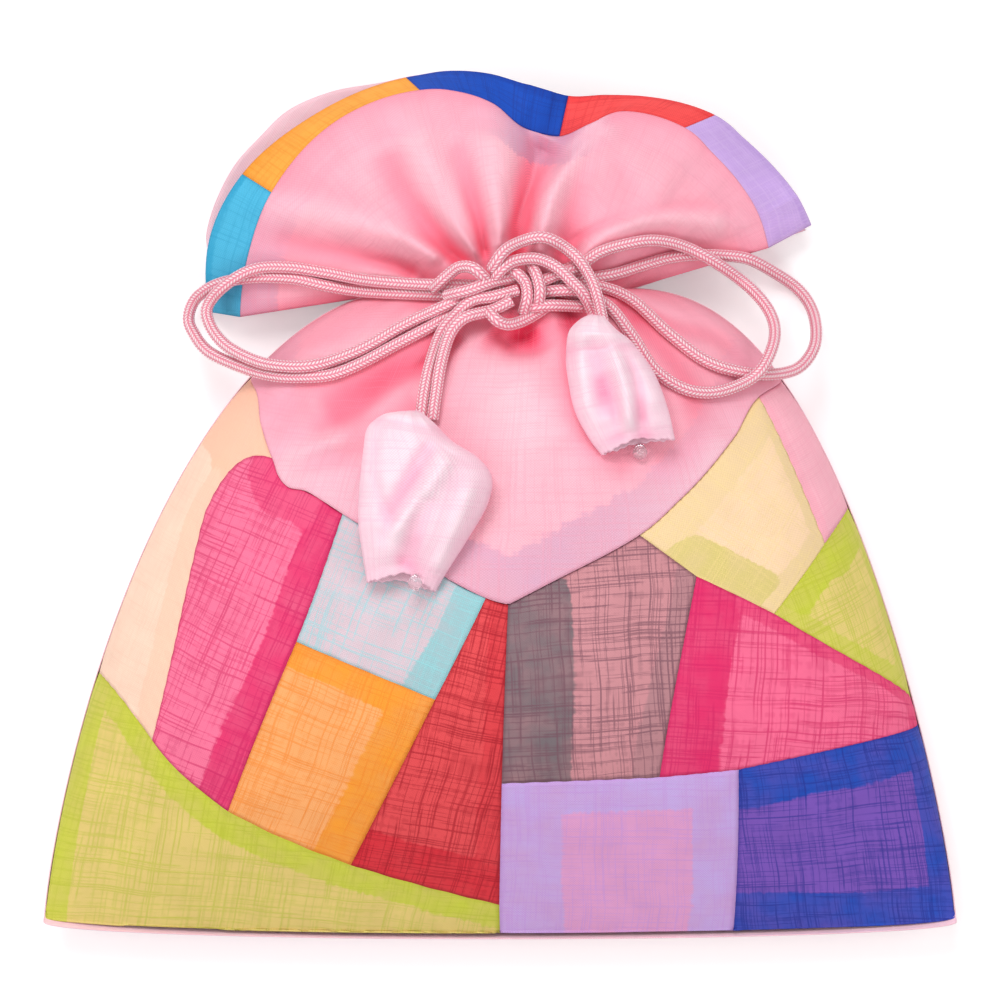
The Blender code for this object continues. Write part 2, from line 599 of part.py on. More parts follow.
def make_yoke_and_ruffle():
    """One pink cloth: the pointed yoke, the gathered neck and the ruffle up to its hem."""
    columns = []
    for a in shared_columns():
        start = yoke_edge(a) + GAP / 2 / BODY_LENGTH
        up = 1 - (1 - start) * (1 - np.linspace(0, 1, 9)) ** 2
        body = yoke_point(np.full(9, a), up)
        out = np.linspace(0, 1 - GAP / 2 / RUFFLE_HEIGHT, 9)[1:]
        columns.append(np.vstack([body, ruffle_point(np.full(8, a), out)]))
    grid = np.stack(columns)
    add_object("yoke_and_ruffle", grid_sheet("yoke_and_ruffle", grid, WALL), PINK)


def make_hem_band():
    for name, start, end, colour in HEM_STRIPS:
        trim = GAP / 2 / (2 * RUFFLE_HALF_WIDTH)
        inner = between(shared_columns(), start + 2 * trim, end - 2 * trim)
        across = np.concatenate([[start + trim], inner, [end - trim]])
        out = np.linspace(1 + GAP / HEM_BAND, 2, 4)
        grid = ruffle_point(*np.meshgrid(across, out, indexing="ij"))
        add_object(name, grid_sheet(name, grid, WALL), colour)


def towards_edges(limit, count):
    """Shares across the panel, closer together towards the side seams."""
    return limit * np.sin(math.pi / 2 * np.linspace(-1, 1, count))


def make_back():
    """Plain back cloth that rolls a little past the front at the base, with the back ruffle."""
    across = towards_edges(1, 27)
    up = 0.5 - 0.5 * np.cos(math.pi * np.linspace(0, 1, 12))
    body = body_point(*np.meshgrid(across, up, indexing="ij"), above=False)
    out = np.linspace(0, 1, 6)[1:]
    ruffle = back_ruffle_point(*np.meshgrid(across, out, indexing="ij"))
    grid = np.concatenate([body, ruffle], axis=1)
    add_object("back_panel", grid_sheet("back_panel", grid, WALL), PALE_PINK)


def make_lining():
    across = towards_edges(0.95, 17)
    front = yoke_point(*np.meshgrid(across, np.linspace(0.06, 0.86, 8), indexing="ij"))
    add_object(
        "lining_front", grid_sheet("lining_front", front, LINING_WALL, -LINING_DEPTH), PALE_PINK)
    back = body_point(
        *np.meshgrid(across, np.linspace(0.1, 0.86, 8), indexing="ij"), above=False)
    add_object(
        "lining_back", grid_sheet("lining_back", back, LINING_WALL, LINING_DEPTH), PALE_PINK)


class Ground:
    """What a cord lies on: the table, the pouch and the strands laid before it."""

    def __init__(self):
        self.trees = []

    def add(self, item):
        graph = bpy.context.evaluated_depsgraph_get()
        self.trees.append(BVHTree.FromObject(item, graph))

    def height(self, x, y):
        high = 0.0
        for tree in self.trees:
            hit = tree.ray_cast(Vector((x, y, 1.0)), Vector((0, 0, -1)))[0]
            if hit is not None:
                high = max(high, hit.z)
        return high

    def resting(self, x, y, radius):
        """Lowest centre height of a ball of this radius at (x, y)."""
        best = self.height(x, y) + radius
        for share in (0.5, 1.0):
            rise = math.sqrt(1 - share * share) * radius
            for k in range(8):
                turn = math.pi / 4 * k
                spot = (x + share * radius * math.cos(turn), y + share * radius * math.sin(turn))
                best = max(best, self.height(*spot) + rise)
        return best

    def nearest(self, place):
        """Distance from a place to the nearest thing on the ground."""
        return min(tree.find_nearest(Vector(place))[3] for tree in self.trees)


def from_neck(place):
    """A place given in mm from the neck's middle, seen from above."""
    return np.array(place, float) * MM + (NECK_SHIFT, BODY_LENGTH)


def clear_of_knot(flat):
    """Leaves out the start and the end of a route where it runs into the knot."""
    reach = np.array([KNOT_LENGTH, KNOT_WIDTH]) / 2 + 2 * GAP
    out = np.linalg.norm((flat - from_neck(KNOT_AT)) / reach, axis=1) > 1
    return flat[np.argmax(out):len(flat) - np.argmax(out[::-1])]


def laid_route(points, ground, start_level=0.0, end_level=0.0, meets_knot=False):
    """A route seen from above, laid over what is under it and eased up to its end levels."""
    flat = spline_through(from_neck(points), 400)
    if meets_knot:
        flat = clear_of_knot(flat)
    length = np.sum(np.linalg.norm(np.diff(flat, axis=0), axis=1))
    steps = max(4, int(np.ceil(length / CORD_STEP)))
    fine = flat[np.linspace(0, len(flat) - 1, 3 * steps + 1).round().astype(int)]
    rest = np.array([ground.resting(x, y, CORD_DIAMETER / 2 + 2 * GAP) for x, y in fine])
    rest[0] = max(rest[0], start_level)
    rest[-1] = max(rest[-1], end_level)
    rest = np.maximum(rest, np.maximum(np.roll(rest, 1), np.roll(rest, -1)) - 2 * CORD_STEP * (
        np.arange(len(rest)) % (len(rest) - 1) == 0))
    run = np.concatenate([[0], np.cumsum(np.linalg.norm(np.diff(fine, axis=0), axis=1))])
    slope = DROP_SLOPE * np.abs(run[:, None] - run[None, :])
    level = np.max(rest[None, :] - slope, axis=1)
    near = np.pad(level, 1, mode="edge")
    level = np.maximum(level, np.maximum(near[:-2], near[2:]))
    return np.column_stack([fine, level])[::3]


def make_strand(name, points):
    curve = bpy.data.curves.new(name, "CURVE")
    curve.dimensions = "3D"
    curve.bevel_depth = CORD_DIAMETER / 2
    curve.bevel_resolution = 2
    curve.use_fill_caps = True
    strand = curve.splines.new("POLY")
    strand.points.add(len(points) - 1)
    for spot, place in zip(strand.points, points):
        spot.co = (*place, 1)
    strand.use_smooth = True
    return add_object(name, curve, CORD_PINK, 0.45)


def make_knot(ground):
    """The bow's knot: a flattened lump with the ridges of the wraps round it."""
    x, y = from_neck(KNOT_AT)
    turns = np.linspace(0, 2 * math.pi, 16, endpoint=False)
    rings = np.linspace(0, math.pi, 13)[1:-1]
    ridge = 1 + 0.05 * np.cos(6 * rings)
    size = np.array([KNOT_LENGTH, KNOT_WIDTH, KNOT_HEIGHT]) / 2
    shape = np.array([
        [(-math.cos(r), ridge[i] * math.sin(r) * math.cos(a), ridge[i] * math.sin(r) * math.sin(a))
         for a in turns] for i, r in enumerate(rings)]) * size
    count = len(turns)
    verts = [(-size[0], 0, 0)] + shape.reshape(-1, 3).tolist() + [(size[0], 0, 0)]
    last = len(verts) - 1
    faces = [(0, 1 + (k + 1) % count, 1 + k) for k in range(count)]
    for i in range(len(rings) - 1):
        for k in range(count):
            a, b = 1 + i * count + k, 1 + i * count + (k + 1) % count
            faces.append((a, b, b + count, a + count))
    tail = 1 + (len(rings) - 1) * count
    faces += [(last, tail + k, tail + (k + 1) % count) for k in range(count)]
    rest = lowest_rest(np.array(verts), x, y, ground)
    mesh = bpy.data.meshes.new("bow_knot")
    mesh.from_pydata((np.array(verts) + (x, y, rest)).tolist(), [], faces)
    mesh.validate()
    mesh.shade_smooth()
    return add_object("bow_knot", mesh, CORD_PINK, 0.45), rest


def lowest_rest(verts, x, y, ground):
    """How high a loose shape is lifted so that it clears what is under it by the gap."""
    need = [ground.height(x + v[0], y + v[1]) - v[2] for v in verts]
    return max(need) + GAP


def make_bud(side, ground):
    """A tulip bud of gathered cloth: narrow at the cord, full in the middle, open at its mouth."""
    left, right = (
        spline_through(from_neck(line), BUD_RINGS) for line in BUD_OUTLINES[side])
    run = np.linspace(0, 1, BUD_RINGS)
    turns = np.linspace(0, 2 * math.pi, BUD_SIDES, endpoint=False)
    middle, half = (left + right) / 2, (right - left) / 2
    ahead = unit(np.gradient(middle, axis=0))
    thick = BUD_THICKNESS / 2 * np.interp(run, *np.transpose(BUD_PROFILE))
    lift = np.sin(turns)

    def skin(shrink, start):
        reach = np.linalg.norm(half[start:], axis=1)
        scale = np.maximum(reach - shrink, BUD_THINNEST) / reach
        flat = middle[start:, None] + (half[start:] * scale[:, None])[:, None] * np.cos(
            turns)[None, :, None]
        lips = BUD_NOTCH * (1 - np.abs(np.cos(turns)) ** 0.8) * np.where(lift > 0, 1, 0.45)
        notch = lips[None, :] * run[start:, None] ** 5
        flat = flat - ahead[start:, None] * notch[..., None]
        deep = np.maximum(thick[start:] - shrink, BUD_THINNEST)
        share = np.where(lift > 0, BUD_UPPER_SHARE, BUD_UNDER_SHARE)
        height = share * deep[:, None] * lift[None, :]
        folds = fold_heights(flat, BUD_FOLDS[side]) * np.clip(lift, 0, 1) ** 0.7
        return np.concatenate([flat, (height + folds)[..., None]], axis=-1)

    outer, hollow = skin(0.0, 0), skin(BUD_WALL, BUD_HOLLOW_FROM)[::-1]
    rings = np.concatenate([outer, hollow])
    count = len(turns)
    spots = np.vstack([rings.reshape(-1, 3), outer[:1].mean(axis=1), hollow[-1:].mean(axis=1)])
    faces = []
    for i in range(len(rings) - 1):
        for k in range(count):
            a, b = i * count + k, i * count + (k + 1) % count
            faces.append((a, b, b + count, a + count))
    tip, floor = len(spots) - 2, len(spots) - 1
    faces += [(tip, (k + 1) % count, k) for k in range(count)]
    end = (len(rings) - 1) * count
    faces += [(floor, end + k, end + (k + 1) % count) for k in range(count)]

    between_turns = (outer + np.roll(outer, 1, axis=1)) / 2
    close = np.concatenate([outer, between_turns], axis=1)
    halfway = (close[:-1] + close[1:]) / 2
    need, need_halfway = (np.array([
        max(ground.height(x, y) - z for x, y, z in ring) for ring in part])
        for part in (close, halfway))
    beside = np.pad(need_halfway, 1, mode="edge")
    lowest = np.maximum(need, np.maximum(beside[:-1], beside[1:])) + GAP
    apart = np.linalg.norm(middle[:, None] - middle[None, :], axis=2)
    seat = np.max(lowest[None, :] - DROP_SLOPE * apart, axis=1)
    order = np.concatenate([np.arange(BUD_RINGS), np.arange(BUD_RINGS)[BUD_HOLLOW_FROM:][::-1]])
    ring_of = np.concatenate([np.repeat(order, count), [0, BUD_HOLLOW_FROM]])
    spots[:, 2] += seat[ring_of]
    mesh = bpy.data.meshes.new("bud_" + side)
    mesh.from_pydata(spots.tolist(), [], faces)
    mesh.validate()
    mesh.shade_smooth()
    made = add_object("bud_" + side, mesh, PALE_PINK)
    return made, seat[0]


def make_bead(side, ground):
    """A small clear bead at the bud's mouth, resting on the cloth under it."""
    x, y = from_neck(BEADS[side])
    level = ground.resting(x, y, BEAD_DIAMETER / 2) + GAP
    while ground.nearest((x, y, level)) < BEAD_DIAMETER / 2 + GAP:
        level += GAP / 2
    ball = bmesh.new()
    bmesh.ops.create_icosphere(ball, subdivisions=2, radius=BEAD_DIAMETER / 2)
    bmesh.ops.translate(ball, verts=ball.verts, vec=(x, y, level))
    mesh = bpy.data.meshes.new("bead_" + side)
    ball.to_mesh(mesh)
    ball.free()
    mesh.shade_smooth()
    return add_object("bead_" + side, mesh, (0.95, 0.8, 0.85), 0.1)


def make_cords(pouch):
    """The knot, the loops and the tails with their buds, each laid on what came before."""
    bpy.context.view_layer.update()
    ground = Ground()
    for item in pouch:
        ground.add(item)
    knot, knot_level = make_knot(ground)
    ground.add(knot)
    for name in ("cord_neck_left", "cord_left_outer", "cord_left_inner",
                 "cord_right_outer", "cord_right_inner"):
        route = laid_route(ROUTES[name], ground, knot_level, knot_level, True)
        ground.add(make_strand(name, route))
    for side in BEADS:
        bud, level = make_bud(side, ground)
        for turn in (1, 2):
            name = f"cord_tail_{side}_{turn}"
            route = laid_route(ROUTES[name], ground, 0.0, level)
            ground.add(make_strand(name, route))
        ground.add(bud)
        make_bead(side, ground)


def centre_on(pouch):
    """Moves everything so that the pouch's underside is centred on the origin."""
    spots = np.array([spot.co for item in pouch for spot in item.data.vertices])
    low, high = spots.min(axis=0), spots.max(axis=0)
    ROOT.location = (-(low[0] + high[0]) / 2, -(low[1] + high[1]) / 2, -low[2])


def main():
    make_front_patches()
    make_yoke_and_ruffle()
    make_hem_band()
    make_back()
    make_lining()
    pouch = list(ROOT.children)
    make_cords(pouch)
    centre_on(pouch)


main()
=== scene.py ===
import json
import math

import bmesh
import bpy
import numpy as np
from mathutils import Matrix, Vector
from mathutils.bvhtree import BVHTree

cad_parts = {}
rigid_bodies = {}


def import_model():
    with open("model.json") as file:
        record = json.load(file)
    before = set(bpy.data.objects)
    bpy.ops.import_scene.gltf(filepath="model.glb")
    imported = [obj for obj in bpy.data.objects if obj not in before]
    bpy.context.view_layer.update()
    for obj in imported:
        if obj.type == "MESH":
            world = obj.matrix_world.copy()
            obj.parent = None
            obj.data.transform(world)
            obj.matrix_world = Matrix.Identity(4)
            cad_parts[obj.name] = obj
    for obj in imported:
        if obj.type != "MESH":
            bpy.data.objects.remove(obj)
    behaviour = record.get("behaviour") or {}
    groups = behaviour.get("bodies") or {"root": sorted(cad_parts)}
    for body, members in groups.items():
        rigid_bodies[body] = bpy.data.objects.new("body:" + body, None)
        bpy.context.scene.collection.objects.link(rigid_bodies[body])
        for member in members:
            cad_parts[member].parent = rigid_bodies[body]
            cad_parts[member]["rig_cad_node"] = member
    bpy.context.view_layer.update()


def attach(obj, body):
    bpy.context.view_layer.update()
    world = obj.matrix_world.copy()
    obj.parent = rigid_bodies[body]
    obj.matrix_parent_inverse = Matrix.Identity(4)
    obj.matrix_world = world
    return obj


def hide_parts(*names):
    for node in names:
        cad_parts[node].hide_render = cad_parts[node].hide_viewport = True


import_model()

MM = 0.001
scene = bpy.context.scene
scene.view_settings.view_transform = "Standard"

# Camera: the pouch lies on its back and is seen from straight above, as the photograph faces it.
camera_data = bpy.data.cameras.new("camera")
camera = bpy.data.objects.new("camera", camera_data)
scene.collection.objects.link(camera)
camera_data.sensor_width = 36
camera_data.lens = 36 * 1200 / 203.6
camera.location = (0, -0.012, 1.24)
camera.rotation_euler = (math.radians(0.6), 0, 0)
scene.camera = camera

# Table, room and lamps: a white table, seen as plain white with the pouch's own soft shadow, a
# large soft lamp from beyond the ruffle, a weaker one from each side and a bright even room.
class Signal:
    """An output in a shader tree that is added, taken away and multiplied as a number is."""

    def __init__(self, tree, socket):
        self.tree, self.socket = tree, socket

    def maths(self, operation, *others):
        node = self.tree.nodes.new("ShaderNodeMath")
        node.operation = operation
        for value, socket in zip((self, *others), node.inputs):
            plug(self.tree, value, socket)
        return Signal(self.tree, node.outputs[0])

    def __add__(self, other):
        return self.maths("ADD", other)

    def __sub__(self, other):
        return self.maths("SUBTRACT", other)

    def __mul__(self, other):
        return self.maths("MULTIPLY", other)

    def step(self, low, high, top=1.0):
        """0 below low, the top value above high, and an S-shaped rise between."""
        node = self.tree.nodes.new("ShaderNodeMapRange")
        node.interpolation_type = "SMOOTHSTEP"
        fill(self.tree, node, {
            "Value": self, "From Min": low, "From Max": high, "To Max": top})
        return Signal(self.tree, node.outputs["Result"])


def plug(tree, value, socket):
    """Joins an output to an input, or writes a plain number or colour into it."""
    if isinstance(value, Signal):
        value = value.socket
    if isinstance(value, bpy.types.NodeSocket):
        tree.links.new(value, socket)
    else:
        socket.default_value = value


def fill(tree, node, values):
    """Plugs a value into each input that is named or numbered, and gives the node back."""
    for label, value in values.items():
        plug(tree, value, node.inputs[label])
    return node


def new_look(name, values):
    """A material with these values on its shader; also gives its node tree and the shader."""
    look = bpy.data.materials.new(name)
    look.use_nodes = True
    tree = look.node_tree
    return look, tree, fill(tree, tree.nodes["Principled BSDF"], values)


room = bpy.data.worlds.new("room")
scene.world = room
room.use_nodes = True
tree = room.node_tree
sky = fill(tree, tree.nodes["Background"], {"Color": (1.0, 0.985, 0.98, 1), "Strength": 0.5})
white = fill(tree, tree.nodes.new("ShaderNodeBackground"), {"Color": (1, 1, 1, 1)})
rays = tree.nodes.new("ShaderNodeLightPath").outputs
seen = Signal(tree, rays["Is Camera Ray"])
for label in ("Is Glossy Ray", "Is Transmission Ray"):
    seen = seen.maths("MAXIMUM", rays[label])
choose = fill(tree, tree.nodes.new("ShaderNodeMixShader"), {
    0: seen, 1: sky.outputs[0], 2: white.outputs[0]})
tree.links.new(choose.outputs[0], tree.nodes["World Output"].inputs["Surface"])


def soft_lamp(name, place, aim, size, watts):
    """A rectangular lamp at a place, turned towards the point it lights."""
    data = bpy.data.lights.new(name, "AREA")
    data.shape = "RECTANGLE"
    data.size, data.size_y = size
    data.energy = watts
    lamp = bpy.data.objects.new(name, data)
    scene.collection.objects.link(lamp)
    lamp.location = place
    heading = Vector(aim) - Vector(place)
    lamp.rotation_euler = heading.to_track_quat("-Z", "Y").to_euler()


soft_lamp("lamp_above", (-0.2, 0.62, 0.85), (0, 0, 0.02), (0.55, 0.45), 4.6)
soft_lamp("lamp_left", (-0.75, -0.1, 0.85), (0, 0, 0.02), (0.5, 0.5), 2.1)
soft_lamp("lamp_right", (0.75, 0.1, 0.85), (0, 0, 0.02), (0.5, 0.5), 1.6)
soft_lamp("lamp_below", (0.1, -0.75, 0.95), (0, -0.02, 0.02), (0.7, 0.4), 2.2)

TABLE_GLOW = 0.22
table_data = bpy.data.meshes.new("table")
table_data.from_pydata([(-3, -3, 0), (3, -3, 0), (3, 3, 0), (-3, 3, 0)], [], [(0, 1, 2, 3)])
table = bpy.data.objects.new("table", table_data)
scene.collection.objects.link(table)
table_look, tree, shader = new_look("white table", {
    "Base Color": (0.93, 0.92, 0.92, 1), "Roughness": 0.9, "Emission Color": (1, 1, 1, 1)})
rays = tree.nodes.new("ShaderNodeLightPath").outputs
fill(tree, shader, {"Emission Strength": Signal(tree, rays["Is Camera Ray"]) * TABLE_GLOW})
table_data.materials.append(table_look)

# Stuffed body: one rounded pillow shape carries every cloth of the front and the back. Places on
# it are shares: across from the left seam (-1) to the right (1), up from the base (0) to the neck.
BASE_WIDTH = 190 * MM
BODY_LENGTH = 132 * MM
NECK_WIDTH = 44 * MM
NECK_SHIFT = 5 * MM
BASE_SAG = 3.4 * MM
SEAM_HEIGHT = 9 * MM
BODY_THICKNESS = 42 * MM
NECK_THICKNESS = 21 * MM
PEAK_AT = 0.45
BACK_ROLL = 1.2 * MM
SIDE_SEAM_GAP = 0.6 * MM
GATHER_HEIGHT = 0.5 * MM
CLOTH_WALL = 0.25 * MM
BODY_MIDDLE = 87.1 * MM
NECK_MIDDLE = np.array([NECK_SHIFT, BODY_LENGTH - BODY_MIDDLE])


def spline_through(points, count):
    """A smooth curve through the points: each stretch is the Catmull-Rom cubic of its two ends
    and their neighbours, and the curve is then read at even steps of its length."""
    fixed = np.array(points, float)
    padded = np.vstack([2 * fixed[0] - fixed[1], fixed, 2 * fixed[-1] - fixed[-2]])
    s = np.linspace(0, 1, 40, endpoint=False)[None, :, None]
    p0, p1, p2, p3 = (padded[i:len(padded) - 3 + i, None, :] for i in range(4))
    fine = 0.5 * (2 * p1 + (p2 - p0) * s + (2 * p0 - 5 * p1 + 4 * p2 - p3) * s ** 2
                  + (3 * p1 - p0 - 3 * p2 + p3) * s ** 3)
    fine = np.vstack([fine.reshape(-1, fixed.shape[1]), fixed[-1:]])
    run = np.concatenate([[0], np.cumsum(np.linalg.norm(np.diff(fine, axis=0), axis=1))])
    at = np.linspace(0, run[-1], count)
    return np.stack([np.interp(at, run, fine[:, k]) for k in range(fine.shape[1])], axis=1)


def half_width(up):
    """Half the neck's width plus the share (1 - up^1.3)^(1/2.2) of the rest of the base."""
    up = np.clip(up, 0, 1)
    return NECK_WIDTH / 2 + (BASE_WIDTH - NECK_WIDTH) / 2 * (1 - up ** 1.3) ** (1 / 2.2)


def fullness(up):
    """A quarter sine up to the fullest place, then a fall with the power 2.5 to the neck."""
    at_neck = (NECK_THICKNESS - SEAM_HEIGHT) / (BODY_THICKNESS - SEAM_HEIGHT)
    rise = np.sin(math.pi / 2 * np.minimum(up / PEAK_AT, 1))
    fall = np.clip((up - PEAK_AT) / (1 - PEAK_AT), 0, 1)
    return rise * (1 - (1 - at_neck) * fall ** 2.5)


def body_point(across, up, above=True):
    """Half an ellipse across at each height up the body: x goes with the sine and z with the
    cosine of a quarter turn times the share across. Small gathers rise towards the neck, and
    the back's rim rises a little to meet the front's."""
    turn = math.pi / 2 * across
    side, crown = np.sin(turn), np.cos(turn)
    full = fullness(up) * crown
    x = NECK_SHIFT * up ** 3 + half_width(up) * side
    y = BODY_LENGTH * up - BASE_SAG * crown * (1 - up) ** 2 - BODY_MIDDLE
    if above:
        z = SEAM_HEIGHT + SIDE_SEAM_GAP + (BODY_THICKNESS - SEAM_HEIGHT) * full
        pull = np.clip(1 - (1 - up) / 0.2, 0, 1) ** 2
        z = z + GATHER_HEIGHT * pull * crown * np.cos(34 * across + 3 * np.sin(5 * across))
    else:
        z = (SEAM_HEIGHT - SIDE_SEAM_GAP) * np.clip(1 - full / 0.4, 0, 1) ** 1.8 + CLOTH_WALL
        z = z + 1.5 * SIDE_SEAM_GAP * (
            np.clip(1 - full / 0.04, 0, 1) + np.clip(1 - up / 0.01, 0, 1))
    return np.stack([x, y, z], axis=-1)


def cloth_run(across, up, above=True):
    """Where a place lies on the flat cloth, in metres: the length over the body from the middle
    line sideways, and from half way up lengthways, each summed over sixteen short straight steps."""
    steps = np.linspace(0, 1, 17).reshape(-1, *([1] * np.ndim(across)))
    sideways = body_point(across[None] * steps, np.broadcast_to(up, (17,) + up.shape), above)
    along = body_point(
        np.broadcast_to(across, (17,) + across.shape), 0.5 + (up[None] - 0.5) * steps, above)
    u = np.linalg.norm(np.diff(sideways, axis=0), axis=-1).sum(axis=0) * np.sign(across)
    v = np.linalg.norm(np.diff(along, axis=0), axis=-1).sum(axis=0) * np.sign(up - 0.5)
    return u, v


def make_sheet(name, grid, cloth, look, shades=(), wall=CLOTH_WALL):
    """A sheet of cloth from a grid of points (first axis left to right, second axis up), with its
    flat place in cm as the UV map, any shades as attributes, and a thin wall under it."""
    columns, rows = grid.shape[:2]
    index = np.arange(columns * rows).reshape(columns, rows)
    faces = np.stack(
        [index[:-1, :-1], index[1:, :-1], index[1:, 1:], index[:-1, 1:]], axis=-1).reshape(-1, 4)
    mesh = bpy.data.meshes.new(name)
    mesh.vertices.add(columns * rows)
    mesh.vertices.foreach_set("co", grid.reshape(-1).astype(np.float32))
    mesh.loops.add(faces.size)
    mesh.loops.foreach_set("vertex_index", faces.reshape(-1).astype(np.int32))
    mesh.polygons.add(len(faces))
    mesh.polygons.foreach_set("loop_start", np.arange(0, faces.size, 4, dtype=np.int32))
    mesh.update(calc_edges=True)
    uv = mesh.uv_layers.new(name="cloth")
    flat = np.stack(cloth, axis=-1).reshape(-1, 2)[faces.reshape(-1)] * 100
    uv.data.foreach_set("uv", flat.reshape(-1).astype(np.float32))
    for label, value in shades:
        mark = mesh.attributes.new(label, "FLOAT", "POINT")
        mark.data.foreach_set("value", value.reshape(-1).astype(np.float32))
    mesh.shade_smooth()
    mesh.materials.append(look)
    piece = bpy.data.objects.new(name, mesh)
    scene.collection.objects.link(piece)
    if wall:
        thick = piece.modifiers.new("cloth wall", "SOLIDIFY")
        thick.thickness = wall
        thick.offset = -1
    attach(piece, "root")
    return piece


def sheet_area(grid):
    """Sum of the grid's cells, each as half the cross product of its diagonals."""
    cross = np.cross(grid[1:, 1:] - grid[:-1, :-1], grid[:-1, 1:] - grid[1:, :-1])
    return float(np.linalg.norm(cross, axis=-1).sum() / 2)


def cut_size(cloth, area):
    """Width and length of the smallest upright rectangle that the flat cloth is cut from."""
    u, v = cloth
    width, length = float(np.ptp(u)), float(np.ptp(v))
    return (width, length), float(np.clip(area, 0.31 * width * length, width * length))


# Patchwork front: thirteen cut pieces of sheer slub cloth, sewn edge to edge with felled seams.
# The seam allowances show through as bands of a stronger colour along some edges of each piece.
CORNERS = {
    "base_left": (-1, 0),
    "base_middle": (0, 0),
    "base_right_of_middle": (0.342, 0),
    "base_right": (1, 0),
    "side_left_low": (-1, 0.394),
    "side_left_high": (-1, 0.868),
    "side_right_low": (1, 0.313),
    "side_right_mid": (1, 0.354),
    "side_right_upper": (1, 0.655),
    "side_right_high": (1, 0.861),
    "peach_foot": (-0.612, 0.297),
    "magenta_foot": (-0.423, 0.192),
    "orange_foot": (-0.215, 0.112),
    "red_foot": (-0.001, 0.051),
    "peach_shoulder": (-0.669, 0.644),
    "peach_top": (-0.527, 0.732),
    "magenta_top": (-0.309, 0.646),
    "ice_foot": (-0.344, 0.452),
    "ice_corner": (-0.101, 0.366),
    "ice_top": (-0.029, 0.519),
    "tip": (0.008, 0.509),
    "grey_foot": (0.002, 0.239),
    "grey_corner": (0.238, 0.247),
    "grey_top": (0.242, 0.614),
    "grey_right": (0.341, 0.551),
    "lavender_corner": (0.37, 0.257),
    "lime_foot": (0.491, 0.493),
    "lime_corner": (0.695, 0.6),
    "yellow_top": (0.673, 0.829),
}
YOKE_CORNERS = (
    "side_left_high", "peach_top", "magenta_top", "ice_top", "tip", "grey_top", "yellow_top",
    "side_right_high")
# How far the seam between two corners bows to the left of its run, as a share of its length
BOWS = {
    ("side_left_low", "peach_foot"): 0.1,
    ("peach_foot", "peach_shoulder"): -0.045,
    ("peach_shoulder", "peach_top"): 0.335,
    ("peach_foot", "magenta_foot"): -0.01,
    ("magenta_foot", "orange_foot"): -0.01,
    ("orange_foot", "red_foot"): -0.01,
    ("side_right_mid", "lime_foot"): 0.055,
    ("lavender_corner", "side_right_low"): 0.025,
    ("ice_foot", "magenta_top"): -0.015,
    ("lime_corner", "side_right_upper"): 0.06,
    ("grey_corner", "grey_right"): 0.02,
    ("lime_foot", "lime_corner"): 0.03,
    ("lime_corner", "yellow_top"): 0.015,
    ("ice_foot", "ice_corner"): 0.01,
}
YOKE_EDGE = (
    (-1, 0.868), (-0.753, 0.836), (-0.621, 0.783), (-0.527, 0.732), (-0.488, 0.705),
    (-0.45, 0.687), (-0.405, 0.681), (-0.365, 0.668), (-0.309, 0.646), (-0.185, 0.594),
    (-0.091, 0.546), (-0.029, 0.519), (0.008, 0.509), (0.094, 0.549), (0.242, 0.614),
    (0.343, 0.673), (0.504, 0.761), (0.673, 0.829), (1, 0.861),
)
